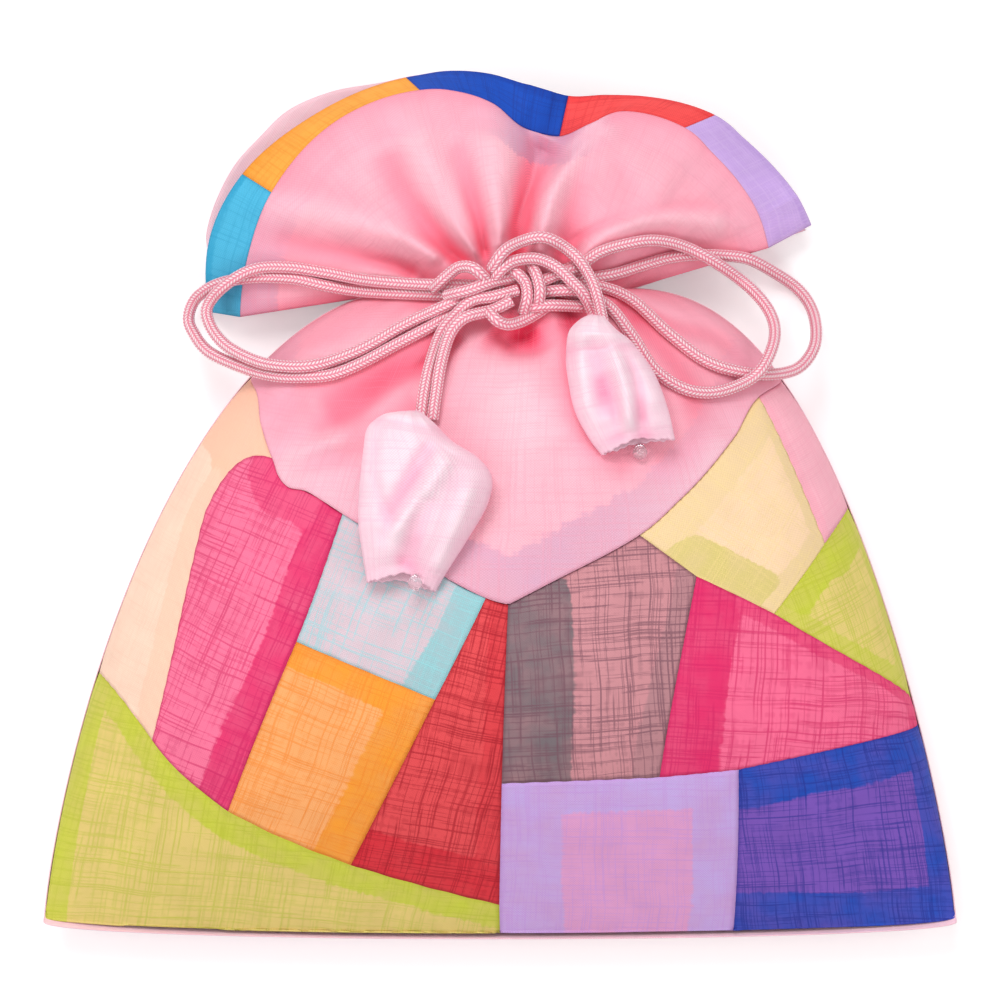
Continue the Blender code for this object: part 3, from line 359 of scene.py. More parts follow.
# Each patch: the corners along its foot, its right side, its top and its left side, the turn of
# its threads in degrees, and its bands as (side, width in mm, strength)
PATCHES = {
    "patch_peach": (
        "side_left_low peach_foot", "peach_foot peach_shoulder peach_top",
        "side_left_high peach_top", "side_left_low side_left_high", -18,
        (("top", 13, 0.9), ("right", 6, 0.5))),
    "patch_magenta_left": (
        "peach_foot magenta_foot", "magenta_foot ice_foot magenta_top", "peach_top magenta_top",
        "peach_foot peach_shoulder peach_top", -22, (("right", 6.4, 1.0), ("top", 6, 0.7))),
    "patch_ice_blue": (
        "ice_foot ice_corner", "ice_corner ice_top", "magenta_top ice_top", "ice_foot magenta_top",
        -20, (("right", 5.4, 1.0),)),
    "patch_orange": (
        "magenta_foot orange_foot", "orange_foot ice_corner", "ice_foot ice_corner",
        "magenta_foot ice_foot", -20, (("top", 5, 1.0), ("right", 6.4, 1.0))),
    "patch_red": (
        "orange_foot red_foot", "red_foot grey_foot tip", "ice_top tip",
        "orange_foot ice_corner ice_top", -12, (("foot", 8, 0.8), ("right", 3, 0.4))),
    "patch_green": (
        "base_left base_middle", "base_middle red_foot",
        "side_left_low peach_foot magenta_foot orange_foot red_foot", "base_left side_left_low",
        -9, (("left", 19, 0.8), ("top", 4.6, 0.9))),
    "patch_grey": (
        "grey_foot grey_corner", "grey_corner grey_right", "tip grey_top grey_right",
        "grey_foot tip", 4, (("left", 10, 1.0), ("right", 4, 0.35))),
    "patch_lavender": (
        "base_middle base_right_of_middle", "base_right_of_middle lavender_corner",
        "grey_foot grey_corner lavender_corner", "base_middle red_foot grey_foot", 0,
        (("top", 6.5, 1.0), ("right", 7, 1.0), ("left", 8.4, 0.9))),
    "patch_blue": (
        "base_right_of_middle base_right", "base_right side_right_low",
        "lavender_corner side_right_low", "base_right_of_middle lavender_corner", 6,
        (("right", 19, 0.9), ("top", 8, 1.0), ("foot", 8.5, 0.9))),
    "patch_magenta_right": (
        "grey_corner lavender_corner side_right_low", "side_right_low side_right_mid",
        "grey_right lime_foot side_right_mid", "grey_corner grey_right", -4,
        (("right", 13, 0.6), ("left", 9, 1.0), ("top", 3, 0.7))),
    "patch_lime": (
        "lime_foot side_right_mid", "side_right_mid side_right_upper",
        "lime_corner side_right_upper", "lime_foot lime_corner", 22,
        (("right", 12, 0.6), ("foot", 4, 0.6), ("left", 5.5, 0.9), ("top", 7, 0.9))),
    "patch_yellow": (
        "grey_right lime_foot", "lime_foot lime_corner yellow_top", "grey_top yellow_top",
        "grey_right grey_top", -33, (("top", 6, 0.35), ("right", 4, 0.4), ("foot", 8, 1.0))),
    "patch_pink_right": (
        "lime_corner side_right_upper", "side_right_upper side_right_high",
        "yellow_top side_right_high", "lime_corner yellow_top", 28, (("left", 3, 0.5),)),
}
# Colours of each patch: middle, band, thread lines, and how strongly the lines show
PATCH_COLOURS = {
    "patch_peach": ((0.975, 0.68, 0.53), (0.985, 0.54, 0.37), (0.95, 0.58, 0.43), 0.3),
    "patch_magenta_left": ((0.94, 0.185, 0.33), (0.78, 0.04, 0.16), (0.62, 0.012, 0.12), 0.75),
    "patch_ice_blue": ((0.7, 0.55, 0.61), (0.3, 0.56, 0.6), (0.3, 0.68, 0.72), 0.7),
    "patch_orange": ((0.97, 0.42, 0.15), (0.92, 0.33, 0.03), (0.9, 0.24, 0.02), 0.7),
    "patch_red": ((0.78, 0.075, 0.085), (0.66, 0.012, 0.03), (0.36, 0.004, 0.016), 0.85),
    "patch_green": ((0.76, 0.58, 0.19), (0.55, 0.6, 0.045), (0.46, 0.5, 0.03), 0.6),
    "patch_grey": ((0.62, 0.27, 0.3), (0.17, 0.14, 0.155), (0.17, 0.07, 0.1), 0.85),
    "patch_lavender": ((0.74, 0.34, 0.6), (0.55, 0.39, 0.76), (0.56, 0.3, 0.72), 0.55),
    "patch_blue": ((0.19, 0.085, 0.46), (0.006, 0.07, 0.45), (0.012, 0.025, 0.26), 0.8),
    "patch_magenta_right": ((0.94, 0.155, 0.3), (0.76, 0.025, 0.14), (0.64, 0.012, 0.12), 0.8),
    "patch_lime": ((0.78, 0.62, 0.2), (0.56, 0.62, 0.045), (0.5, 0.54, 0.03), 0.6),
    "patch_yellow": ((0.975, 0.69, 0.45), (0.7, 0.58, 0.2), (0.93, 0.7, 0.3), 0.4),
    "patch_pink_right": ((0.97, 0.47, 0.56), (0.96, 0.4, 0.5), (0.93, 0.36, 0.48), 0.4),
}


def new_group(name, takes, gives):
    """An empty shader node group with the named inputs and outputs: the group, its inputs as
    signals by name, and its output node."""
    group = bpy.data.node_groups.new(name, "ShaderNodeTree")
    for label, kind, value in takes:
        socket = group.interface.new_socket(label, in_out="INPUT", socket_type=kind)
        socket.default_value = value
    for label, kind in gives:
        group.interface.new_socket(label, in_out="OUTPUT", socket_type=kind)
    given = group.nodes.new("NodeGroupInput")
    return group, {socket.name: Signal(group, socket) for socket in given.outputs}, (
        group.nodes.new("NodeGroupOutput"))


def mix_colours(tree, share, first, second, blend="MIX"):
    node = tree.nodes.new("ShaderNodeMix")
    node.data_type = "RGBA"
    node.blend_type = blend
    return fill(tree, node, {0: share, 6: first, 7: second}).outputs[2]


def flat_place(tree):
    """The place on the flat cloth, which the UV map holds."""
    node = tree.nodes.new("ShaderNodeUVMap")
    node.uv_map = "cloth"
    return node.outputs[0]


def split_place(tree, place):
    node = fill(tree, tree.nodes.new("ShaderNodeSeparateXYZ"), {0: place})
    return Signal(tree, node.outputs[0]), Signal(tree, node.outputs[1])


def join_place(tree, x, y):
    return fill(tree, tree.nodes.new("ShaderNodeCombineXYZ"), {0: x, 1: y}).outputs[0]


def stretched_noise(tree, place, scale, offset, detail=1.0):
    """Soft noise read from the flat cloth, drawn out along the thread that it follows."""
    shift = fill(tree, tree.nodes.new("ShaderNodeMapping"), {
        "Vector": place, "Scale": (*scale, 1), "Location": (*offset, 0)})
    noise = tree.nodes.new("ShaderNodeTexNoise")
    noise.noise_dimensions = "2D"
    fill(tree, noise, {"Vector": shift.outputs[0], "Scale": 1, "Detail": detail})
    return Signal(tree, noise.outputs["Fac"])


# Slub cloth: warp and weft lie about half a mm apart, and thick threads stand out in both as
# broken lines one or two threads wide. Its UV map is the flat cloth in cm.
WEAVE_TURNS = 118.0
THREAD_BEND = 0.14
slub, take, made = new_group("slub cloth", (
    ("Middle", "NodeSocketColor", (0.8, 0.8, 0.8, 1)),
    ("Band", "NodeSocketColor", (0.6, 0.6, 0.6, 1)),
    ("Thread", "NodeSocketColor", (0.5, 0.5, 0.5, 1)),
    ("Line Strength", "NodeSocketFloat", 0.6),
    ("Band Share", "NodeSocketFloat", 0.0),
    ("Band Strength", "NodeSocketFloat", 0.0),
    ("Seam Share", "NodeSocketFloat", 0.0),
    ("Weave Sheen", "NodeSocketFloat", 0.1),
    ("Seed", "NodeSocketFloat", 0.0),
), (("Color", "NodeSocketColor"), ("Height", "NodeSocketFloat")))
seeded = slub.nodes.new("ShaderNodeVectorMath")
seeded.operation = "ADD"
place = fill(slub, seeded, {
    0: flat_place(slub), 1: join_place(slub, take["Seed"], take["Seed"] * 1.7)}).outputs[0]
drawn = [
    part + (stretched_noise(slub, place, scale, offset) - 0.5) * THREAD_BEND
    for part, scale, offset in zip(
        split_place(slub, place), ((0.25, 0.7), (0.7, 0.25)), ((3, 1), (8, 6)))]


def thread_lines(across, along, per_cm, reach, low, high, offset):
    """Broken lines: each thread has its own noise along its length and shows where that is high."""
    count = across * per_cm
    spot = join_place(slub, count.maths("FLOOR") * 1.371, along * reach)
    shown = stretched_noise(slub, spot, (1, 1), offset).step(low, high)
    from_middle = (count.maths("FRACT") - 0.5).maths("ABSOLUTE")
    return shown * from_middle.maths("MULTIPLY_ADD", -1.0, 0.5).step(0.05, 0.3)


lines = 0.0
for across, along, offset in ((drawn[0], drawn[1], (0, 0)), (drawn[1], drawn[0], (40, 17))):
    fine = thread_lines(across, along, 32.0, 0.3, 0.57, 0.64, offset)
    bold = thread_lines(across, along, 19.0, 0.28, 0.62, 0.68, (offset[0] + 5, 9))
    lines = fine * 0.7 + bold * 0.9 + lines
lines = lines.maths("MINIMUM", 1.0)
warp, weft = ((part * WEAVE_TURNS).maths("SINE") for part in drawn)
weave = warp * weft
clouds = stretched_noise(slub, place, (1.3, 1.3), (4, 6), 3)
wide = stretched_noise(slub, place, (0.6, 9), (6, 3)) + stretched_noise(
    slub, place, (9, 0.6), (2, 8))
frayed = take["Band Share"] + (wide - 1.0) * 0.34
banded = take["Band Strength"] * (
    frayed.step(0.4, 0.62) * (weave * 0.14 + (clouds * 0.85 + 0.42)))
tone = mix_colours(slub, banded, take["Middle"], take["Band"])
streaks = take["Line Strength"] * wide.step(1.02, 1.3, 0.3)
threads = lines * (weave * 0.2 + 0.8) * take["Line Strength"]
for share in (streaks, threads, take["Seam Share"]):
    tone = mix_colours(slub, share, tone, take["Thread"])
# The weave's pattern darkens and brightens the colour: partly the cloth's real texture, partly a
# painted sheen on its threads. Soft clouds vary the tone at random.
bright = weave * take["Weave Sheen"] + (clouds * 0.16 + 0.92)
grey = fill(slub, slub.nodes.new("ShaderNodeCombineColor"), {0: bright, 1: bright, 2: bright})
tone = mix_colours(slub, 1.0, tone, grey.outputs[0], "MULTIPLY")
fill(slub, made, {"Color": tone, "Height": weave * 0.3 + lines * 0.7})


def read_shade(tree, label):
    """A shade that the mesh carries at its points."""
    mark = tree.nodes.new("ShaderNodeAttribute")
    mark.attribute_name = label
    return mark.outputs["Fac"]


def wear_group(tree, shader, group, values, strength, distance):
    """Adds a group to a look, with its colour on the shader and its height as relief."""
    node = tree.nodes.new("ShaderNodeGroup")
    node.node_tree = group
    fill(tree, node, values)
    bump = fill(tree, tree.nodes.new("ShaderNodeBump"), {
        "Strength": strength, "Distance": distance, "Height": node.outputs["Height"]})
    fill(tree, shader, {"Base Color": node.outputs["Color"], "Normal": bump.outputs[0]})
    return node


def slub_look(name, middle, band, thread, lines_show, seed, weave_sheen=0.09, stops=()):
    """Cloth material: the slub group on a soft satin surface with a sheen. With stops, the
    cloth's middle colour runs through them with the painted shade of its mesh, from a
    painted highlight at 0 to painted shade at 1."""
    look, tree, shader = new_look(name, {
        "Roughness": 0.62, "Specular IOR Level": 0.2, "Sheen Weight": 0.05,
        "Sheen Roughness": 0.5, "Sheen Tint": (*middle, 1)})
    cloth = wear_group(tree, shader, slub, {
        "Middle": (*middle, 1), "Band": (*band, 1), "Thread": (*thread, 1),
        "Line Strength": lines_show, "Weave Sheen": weave_sheen, "Seed": seed,
        "Band Share": read_shade(tree, "band"), "Band Strength": read_shade(tree, "firm"),
        "Seam Share": read_shade(tree, "seam")}, 0.35, 0.12 * MM)
    if stops:
        ramp = fill(tree, tree.nodes.new("ShaderNodeValToRGB"), {0: read_shade(tree, "painted_shade")})
        marks = ramp.color_ramp.elements
        for at, colour in stops:
            mark = marks.new(at) if 0 < at < 1 else marks[0 if at == 0 else -1]
            mark.color = (*colour, 1)
        fill(tree, cloth, {"Middle": ramp.outputs[0]})
    return look


tip_at = YOKE_EDGE.index(CORNERS["tip"])
edge_line = np.vstack([
    spline_through(YOKE_EDGE[:tip_at + 1], 300), spline_through(YOKE_EDGE[tip_at:], 300)[1:]])


def yoke_edge(across):
    """Share up of the yoke's lower edge: a smooth line on each side of its point."""
    return np.interp(across, edge_line[:, 0], edge_line[:, 1])


PANEL = np.array([BASE_WIDTH / 2, BODY_LENGTH])
CELL = 0.8 * MM
PUFF = 0.5 * MM
PUCKER_HEIGHT = 0.1 * MM
PUCKER_PITCH = 3.1 * MM
SEAM_DIP = 0.3 * MM


def seam(start, end):
    """The seam between two corners on the flat panel: straight, with a parabola for its bow, or
    the yoke's own edge where both corners lie on it."""
    a, b = np.array(CORNERS[start], float), np.array(CORNERS[end], float)
    s = np.linspace(0, 1, 60)[:, None]
    if start in YOKE_CORNERS and end in YOKE_CORNERS:
        shares = a[0] + (b[0] - a[0]) * s[:, 0]
        return np.stack([shares, yoke_edge(shares)], axis=1)
    bow = BOWS.get((start, end), 0) - BOWS.get((end, start), 0)
    left = np.array([-(b - a)[1] * PANEL[1], (b - a)[0] * PANEL[0]]) / PANEL
    return a + (b - a) * s + left * bow * 4 * s * (1 - s)


def side_of_patch(corners, count):
    """One side of a patch: its seams end to end, read at even steps of their length."""
    corners = corners.split()
    line = np.vstack([seam(a, b) for a, b in zip(corners, corners[1:])])
    run = np.concatenate(
        [[0], np.cumsum(np.linalg.norm(np.diff(line * PANEL, axis=0), axis=1))])
    at = np.linspace(0, run[-1], count)
    return np.stack([np.interp(at, run, line[:, k]) for k in range(2)], axis=1)


def distance_to(line, spots):
    """Shortest distance from each place to a line of points, all on the flat panel."""
    start, run = line[:-1], np.diff(line, axis=0)
    gap = spots[:, None, :] - start
    share = np.sum(gap * run, axis=2) / np.maximum(np.sum(run * run, axis=1), 1e-16)
    share = np.clip(share, 0, 1)
    return np.linalg.norm(gap - run * share[..., None], axis=2).min(axis=1)


def patch_surface(name):
    """A patch spanned between its four sides: the blend of foot and top, plus the blend of left
    and right, less the blend of the four corners (a Coons patch), laid on the stuffed body. The
    cloth puffs 0.5 mm between seams and dips along them with small even puckers."""
    foot, right, top, left, turn, bands = PATCHES[name]
    lengths = [np.linalg.norm(np.diff(side_of_patch(side, 30) * PANEL, axis=0), axis=1).sum()
               for side in (foot, right, top, left)]
    columns = int(np.clip(max(lengths[0], lengths[2]) / CELL, 24, 190))
    rows = int(np.clip(max(lengths[1], lengths[3]) / CELL, 24, 160))
    low, high = side_of_patch(foot, columns), side_of_patch(top, columns)
    near, far = side_of_patch(left, rows), side_of_patch(right, rows)
    s = np.linspace(0, 1, columns)[:, None, None]
    t = np.linspace(0, 1, rows)[None, :, None]
    flat = (1 - t) * low[:, None] + t * high[:, None] + (1 - s) * near[None] + s * far[None] - (
        (1 - s) * (1 - t) * low[0] + s * (1 - t) * low[-1] + (1 - s) * t * high[0]
        + s * t * high[-1])
    flat[..., 1] = np.maximum(flat[..., 1], BACK_ROLL / BODY_LENGTH)
    spots = (flat * PANEL).reshape(-1, 2)
    sides = {"foot": low, "right": far, "top": high, "left": near}
    gaps = {
        label: distance_to(line * PANEL, spots).reshape(columns, rows)
        for label, line in sides.items()}
    nearest = np.minimum.reduce(list(gaps.values()))
    band, firm = np.zeros((columns, rows)), np.zeros((columns, rows))
    for label, width, strength in bands:
        wander = 0.3 * MM * np.sin(flat[..., 0] * 17 + flat[..., 1] * 13)
        reach = np.clip((width * MM + wander - gaps[label]) / (2.6 * MM) + 0.5, 0, 1)
        firm = np.where(reach > band, strength, firm)
        band = np.maximum(band, reach)
    grid = body_point(flat[..., 0], flat[..., 1])
    seam_share = 0.5 * np.clip(1 - nearest / (0.55 * MM), 0, 1)
    puff = PUFF * (1 - np.exp(-(nearest / (4 * MM)) ** 1.5))
    puckers = PUCKER_HEIGHT * np.exp(-(nearest / (3 * MM)) ** 2) * np.sin(
        (spots[:, 0] + spots[:, 1]).reshape(columns, rows) * 2 * math.pi / PUCKER_PITCH)
    normal = np.cross(np.gradient(grid, axis=0), np.gradient(grid, axis=1))
    normal /= np.maximum(np.linalg.norm(normal, axis=-1, keepdims=True), 1e-12)
    grid = grid + normal * (puff + puckers - SEAM_DIP)[..., None]
    u, v = cloth_run(flat[..., 0], flat[..., 1])
    c, k = math.cos(math.radians(turn)), math.sin(math.radians(turn))
    cloth = (u * c + v * k, v * c - u * k)
    return grid, cloth, (("band", band), ("firm", firm), ("seam", seam_share))


for number, name in enumerate(PATCHES):
    middle, band, thread, lines_show = PATCH_COLOURS[name]
    grid, cloth, shades = patch_surface(name)
    look = slub_look(
        name.replace("patch_", "") + " slub cloth", middle, band, thread, lines_show,
        3.7 * number + 1)
    patch = make_sheet("sewn_" + name, grid, cloth, look, shades)
    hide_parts(name)
    cut, area = cut_size(cloth, sheet_area(grid))

# Yoke and ruffle: one length of pink cloth, sewn to the patchwork along its pointed edge, drawn
# together at the neck by the cord and standing out above it as a ruffle in broad soft folds.
RUFFLE_HEIGHT = 42 * MM
RUFFLE_DOME = 6 * MM
HEM_CREST = 17 * MM
HEM_SIDE = 7 * MM
HEM_BAND = 9 * MM
BACK_HEM_HEIGHT = 3 * MM
# Hem of the ruffle: share of the gathered cloth, then direction from the neck's middle in degrees
# (0 right, 90 up the ruffle) and reach as a share of the ruffle's height, first for the hem's
# inner edge and then for its outer edge
HEM_LINE = (
    (-1, 185.5, 1.42, 183.8, 1.585), (-0.85, 172.5, 1.38, 170.9, 1.585),
    (-0.7, 159.2, 1.34, 157.7, 1.515), (-0.5, 139.1, 1.25, 139.6, 1.355),
    (-0.3, 117.8, 1.107, 119.1, 1.206), (-0.19, 108.7, 1.025, 109.4, 1.15),
    (-0.08, 99.6, 0.924, 99.4, 1.084), (0.03, 90.5, 0.795, 88.9, 1.007),
    (0.14, 76.9, 0.772, 77.0, 0.979), (0.218, 67.9, 0.873, 67.1, 1.044),
    (0.3, 60.8, 1.0, 58, 1.13), (0.45, 44.9, 1.125, 42.3, 1.285),
    (0.588, 35.7, 1.151, 34.4, 1.328), (0.725, 26.8, 1.189, 26.9, 1.38),
    (0.863, 18.3, 1.223, 19.7, 1.432), (1, 9.7, 1.237, 12.7, 1.469),
)
HEM_LEAN = 0.8
HALF_CLOTH = 92 * MM
PINK_COLUMNS = 270
BODY_ROWS = 80
RUFFLE_ROWS = 95
# Folds as seen from above, in mm from the neck's middle: height and width of the fold where it
# starts, then where it ends, then the points it runs through. Negative heights are hollows.
YOKE_FOLDS = (
    (-5.2, 4.6, -3.4, 4.2, ((-6.5, -7.5), (-2, -10.5), (4, -8))),
    (1.6, 2.0, 0.8, 2.4, ((4.5, -3.5), (6.2, -8), (7, -14))),
    (-2.2, 1.9, -1.0, 3.0, ((8, -1), (10, -6), (14, -12))),
    (-3.0, 2.6, -0.4, 4.4, ((-14, -8), (-20.5, -15.5), (-30, -20.5), (-37.6, -24.5), (-46, -31))),
    (1.8, 1.7, 0.9, 2.6, ((-12, -3), (-20, -14), (-27, -22), (-31, -30))),
    (1.5, 2.2, 0.8, 3.0, ((-20, -5), (-34, -12), (-46, -16), (-54, -24))),
    (-1.6, 2.0, -0.6, 2.5, ((-51, -40), (-43, -36.8), (-33, -34))),
    (1.4, 1.8, 1.2, 2.4, ((-53, -38), (-44, -34), (-33, -30))),
    (-1.6, 1.6, -0.8, 3.0, ((18, -3), (30, -8), (42, -12), (52, -24))),
    (1.2, 1.5, 0.6, 3.0, ((12, -3), (22, -10), (30, -20), (34, -34))),
    (1.0, 1.4, 0.4, 2.6, ((-3, -3), (-6, -14), (-8, -26))),
)
RUFFLE_FOLDS = (
    (1.6, 1.3, 1.4, 3.4, ((-21, 0.5), (-29, 2.5), (-40, 0.8), (-58, -5))),
    (-2.6, 1.4, -0.9, 3.4, ((-21, 2), (-31, 5.8), (-46.6, 8.9), (-54, 11))),
    (1.8, 1.5, 1.4, 4.6, ((-16, 5), (-25.9, 10.2), (-42, 15), (-58, 17.5))),
    (-4.6, 1.7, -0.9, 4.2, ((-10.5, 3.5), (-16.5, 9), (-22, 15), (-26.5, 21.7), (-30, 30))),
    (2.2, 1.4, 1.2, 3.8, ((-9, 5), (-15.2, 14.8), (-20, 24), (-24, 34))),
    (-3.4, 1.0, -0.5, 3.0, ((-7.6, 5), (-9.6, 14), (-12.6, 23), (-15.5, 32))),
    (2.0, 2.2, 1.8, 5.0, ((-4.5, 6), (-4.6, 16), (-5, 28), (-5, 34))),
    (-6.5, 1.5, -7.0, 4.4, ((-1.6, 4), (-1.0, 11), (0.3, 20), (4, 28), (6, 32))),
    (2.8, 1.7, 2.8, 3.6, ((2.6, 5), (3.8, 12), (7.5, 23), (13, 32), (19, 37))),
    (-3.2, 1.8, -0.6, 8.0, ((8, 4), (10, 11), (14, 19), (24, 26))),
    (2.4, 1.6, 1.8, 3.0, ((10, 4), (18, 11), (30, 14), (44, 13))),
    (-1.4, 1.6, -0.7, 3.0, ((16, 1), (28, 6), (40, 8), (50, 9))),
)
# Creases, where the ruffle's lobes and the yoke's lips turn over, given as the folds are
CREASES = (
    (-1.5, 0.9, -0.7, 1.1, (
        (-4.6, 7.7), (-0.8, 16.2), (1.7, 22.2), (1.9, 27.4), (0.4, 33.4), (-4.4, 39.4))),
    (-1.3, 0.9, -0.8, 1.1, (
        (0.4, 10.2), (0.8, 12.9), (2.5, 18), (6.8, 24.9), (12.9, 31.3), (21.4, 36.5))),
    (-1.3, 0.9, -0.2, 1.8, (
        (-9.5, 4.2), (-18, 8.5), (-24.9, 12.9), (-28.4, 17), (-29.5, 22.2))),
    (-1.3, 0.9, -0.2, 1.8, ((-8.3, 5.8), (-12, 11.8), (-16.4, 17), (-19.3, 21.4), (-18.9, 26.6))),
    (-1.2, 0.9, -0.2, 1.8, ((-6, 7.7), (-7.3, 13.7), (-8.7, 18.9), (-10.4, 23.9), (-12.5, 29.1))),
    (-1.0, 0.8, -0.3, 1.4, ((9, 9), (16, 12.6), (26, 15.6), (36, 17), (45, 15.5))),
    (-1.4, 0.9, -1.2, 0.9, ((-6, -8.7), (-3.1, -12.7), (0.8, -13.5), (5.2, -11.8), (7.7, -7.9))),
    (-1.4, 1.0, -0.4, 2.0, ((-18.5, -15), (-23.9, -18.5), (-30, -22.8), (-36.5, -27), (-45, -31))),
)
# Painted shade on the yoke beneath the left cord loop, beside the buds and under the knot, and
# paler pink at its middle and lower edge, given as the folds are, but as shares
SHADE_AND_TINT_LINES = (
    (0.42, 3.4, 0.2, 6.0, ((-15, -10), (-23, -15), (-32, -20), (-44, -26))),
    (0.26, 4.0, 0.12, 6.0, ((-20, -24), (-29, -29), (-40, -33))),
    (0.34, 2.6, 0.2, 4.0, ((9, -5), (9.6, -14), (11, -24), (15, -33), (24, -39))),
    (0.3, 3.0, 0.2, 4.0, ((20, -6), (28, -14), (34, -24), (33, -34), (24, -39))),
    (0.5, 3.4, 0.5, 3.6, ((-3.4, -8), (0.8, -9.6), (4.6, -7.6))),
    (-0.18, 7.0, -0.12, 8.0, ((-4, -20), (1, -28), (6, -36))),
    (-0.2, 5.0, -0.26, 7.0, ((-52, -38), (-40, -40), (-30, -44))),
    (-0.1, 6.0, -0.26, 7.0, ((20, -50), (32, -42), (44, -32))),
)
hem_line = spline_through(np.array(HEM_LINE, float), 400)


def fold_heights(x, y, folds):
    """Height added by folds at places seen from above. Each fold gives its height times
    exp(-(distance from its line / its width)^2), height and width running evenly along the line,
    and it fades out over the last few mm at each end."""
    spots = np.stack([x, y], axis=-1).reshape(-1, 1, 2) - NECK_MIDDLE
    height = np.zeros(len(spots))
    for h0, w0, h1, w1, points in folds:
        line = spline_through(np.array(points) * MM, 48)
        start, run = line[:-1], np.diff(line, axis=0)
        share = np.clip(np.sum((spots - start) * run, axis=2) / np.sum(run * run, axis=1), 0, 1)
        gap = np.linalg.norm(start + run * share[..., None] - spots, axis=2)
        near = np.argmin(gap, axis=1)
        rows = np.arange(len(spots))
        along = (near + share[rows, near]) / len(start)
        level = (h0 + (h1 - h0) * along) * MM
        width = (w0 + (w1 - w0) * along) * MM
        length = np.linalg.norm(run, axis=1).sum()
        ends = np.clip(along / max(0.06, 2.5 * MM / length), 0.25, 1) * np.clip(
            (1 - along) / max(0.1, 4 * MM / length), 0.3, 1)
        height += level * ends * np.exp(-(gap[rows, near] / width) ** 2)
    return height.reshape(np.shape(x))


def hem_place(across, angle_at, reach_at):
    """A place of one of the hem's edges seen from above, from its direction and its reach."""
    angle = np.radians(np.interp(across, hem_line[:, 0], hem_line[:, angle_at]))
    reach = np.interp(across, hem_line[:, 0], hem_line[:, reach_at]) * RUFFLE_HEIGHT
    return NECK_MIDDLE + reach[..., None] * np.stack([np.cos(angle), np.sin(angle)], axis=-1)


def hem_point(across, past):
    """Between the hem's inner and outer edge by the share past. Where the band looks narrower
    from above than it is, it leans down towards the table by what Pythagoras leaves of it."""
    inner, outer = hem_place(across, 1, 2), hem_place(across, 3, 4)
    flat = inner + (outer - inner) * past[..., None]
    seen = np.linalg.norm(outer - inner, axis=-1)
    drop = HEM_LEAN * np.sqrt(np.maximum(HEM_BAND ** 2 - seen ** 2, 0))
    crown = np.cos(math.pi / 2 * across)
    level = HEM_SIDE + (HEM_CREST - HEM_SIDE) * crown ** 0.7 - past * drop
    return np.concatenate([flat, level[..., None]], axis=-1)


def ruffle_point(across, out):
    """Front ruffle: straight runs from the neck to the hem, lifted by a sine arch. Out is 0 at
    the neck, 1 at the hem and 2 at the band's outer edge."""
    inner = np.clip(out, 0, 1)[..., None]
    past = np.clip(out - 1, 0, 1)
    neck = body_point(across, np.ones_like(across))
    point = neck * (1 - inner) + hem_point(across, past) * inner
    crown = np.cos(math.pi / 2 * across)
    point[..., 2] += RUFFLE_DOME * np.sin(math.pi * inner[..., 0]) * crown
    return point


def pink_folds(point):
    """Folds of the yoke and the ruffle at each point: what they add to its height, in metres."""
    fade = np.clip((point[..., 2] - 6 * MM) / (6 * MM), 0.2, 1)
    x, y = point[..., 0], point[..., 1]
    return fade * (fold_heights(x, y, YOKE_FOLDS) + fold_heights(x, y, RUFFLE_FOLDS)
                   + 0.7 * fold_heights(x, y, CREASES))


def smoothed(values, reach):
    """The mean of a grid over a square of cells on each side, by running sums."""
    for axis in (0, 1):
        edge = [(0, 0), (0, 0)]
        edge[axis] = (reach + 1, reach)
        total = np.cumsum(np.pad(values, edge, mode="edge"), axis=axis)
        high = np.take(total, range(2 * reach + 1, total.shape[axis]), axis=axis)
        low = np.take(total, range(0, total.shape[axis] - 2 * reach - 1), axis=axis)
        values = (high - low) / (2 * reach + 1)
    return values


columns = np.linspace(-1, 1, PINK_COLUMNS)
starts = yoke_edge(columns)
body_rows = 1 - (1 - starts[:, None]) * (1 - np.linspace(0, 1, BODY_ROWS)) ** 1.25
across_grid = np.broadcast_to(columns[:, None], body_rows.shape)
yoke_grid = body_point(across_grid, body_rows)
out_rows = np.broadcast_to(
    np.linspace(0, 1, RUFFLE_ROWS + 1)[1:], (PINK_COLUMNS, RUFFLE_ROWS))
across_out = np.broadcast_to(columns[:, None], out_rows.shape)
ruffle_grid = ruffle_point(across_out, out_rows)
pink_grid = np.concatenate([yoke_grid, ruffle_grid], axis=1)
pink_rise = pink_folds(pink_grid)
from_edge = (body_rows - starts[:, None]) * BODY_LENGTH
sewn_down = np.concatenate(
    [np.clip(from_edge / (9 * MM), 0, 1), np.ones_like(out_rows)], axis=1)
pink_grid[..., 2] += pink_rise * sewn_down
height = pink_grid[..., 2]
# Painted shade and light of the pink cloth: its middle colour goes deeper where it lies below its
# smoothed surface (less so in the ruffle's middle valley) and round the gathered neck, paler on
# ridges, plus the painted shade and paler pink of the lines listed above.
sunk = 0.6 * (smoothed(height, 7) - height) / (0.5 * MM) + (
    smoothed(smoothed(height, 18), 12) - height) / (2.2 * MM)
near_neck = np.exp(-(np.linalg.norm(
    (pink_grid[..., :2] - NECK_MIDDLE) / (24 * MM, 13 * MM), axis=-1)) ** 2)
shade_and_tint = fold_heights(pink_grid[..., 0], pink_grid[..., 1], SHADE_AND_TINT_LINES) / MM
valley = np.exp(-(np.linalg.norm(
    (pink_grid[..., :2] - NECK_MIDDLE - (4.5 * MM, 30 * MM)) / (5.5 * MM, 7 * MM), axis=-1)) ** 2)
painted_shade = np.clip(smoothed(
    0.3 + 0.22 * np.tanh(0.9 * sunk) * (1 - 0.8 * valley) + 0.2 * near_neck, 2) + shade_and_tint, 0, 1)
hem_gap = np.concatenate(
    [np.full(body_rows.shape, 2.0), (1 - out_rows) * RUFFLE_HEIGHT / (8.5 * MM)], axis=1)
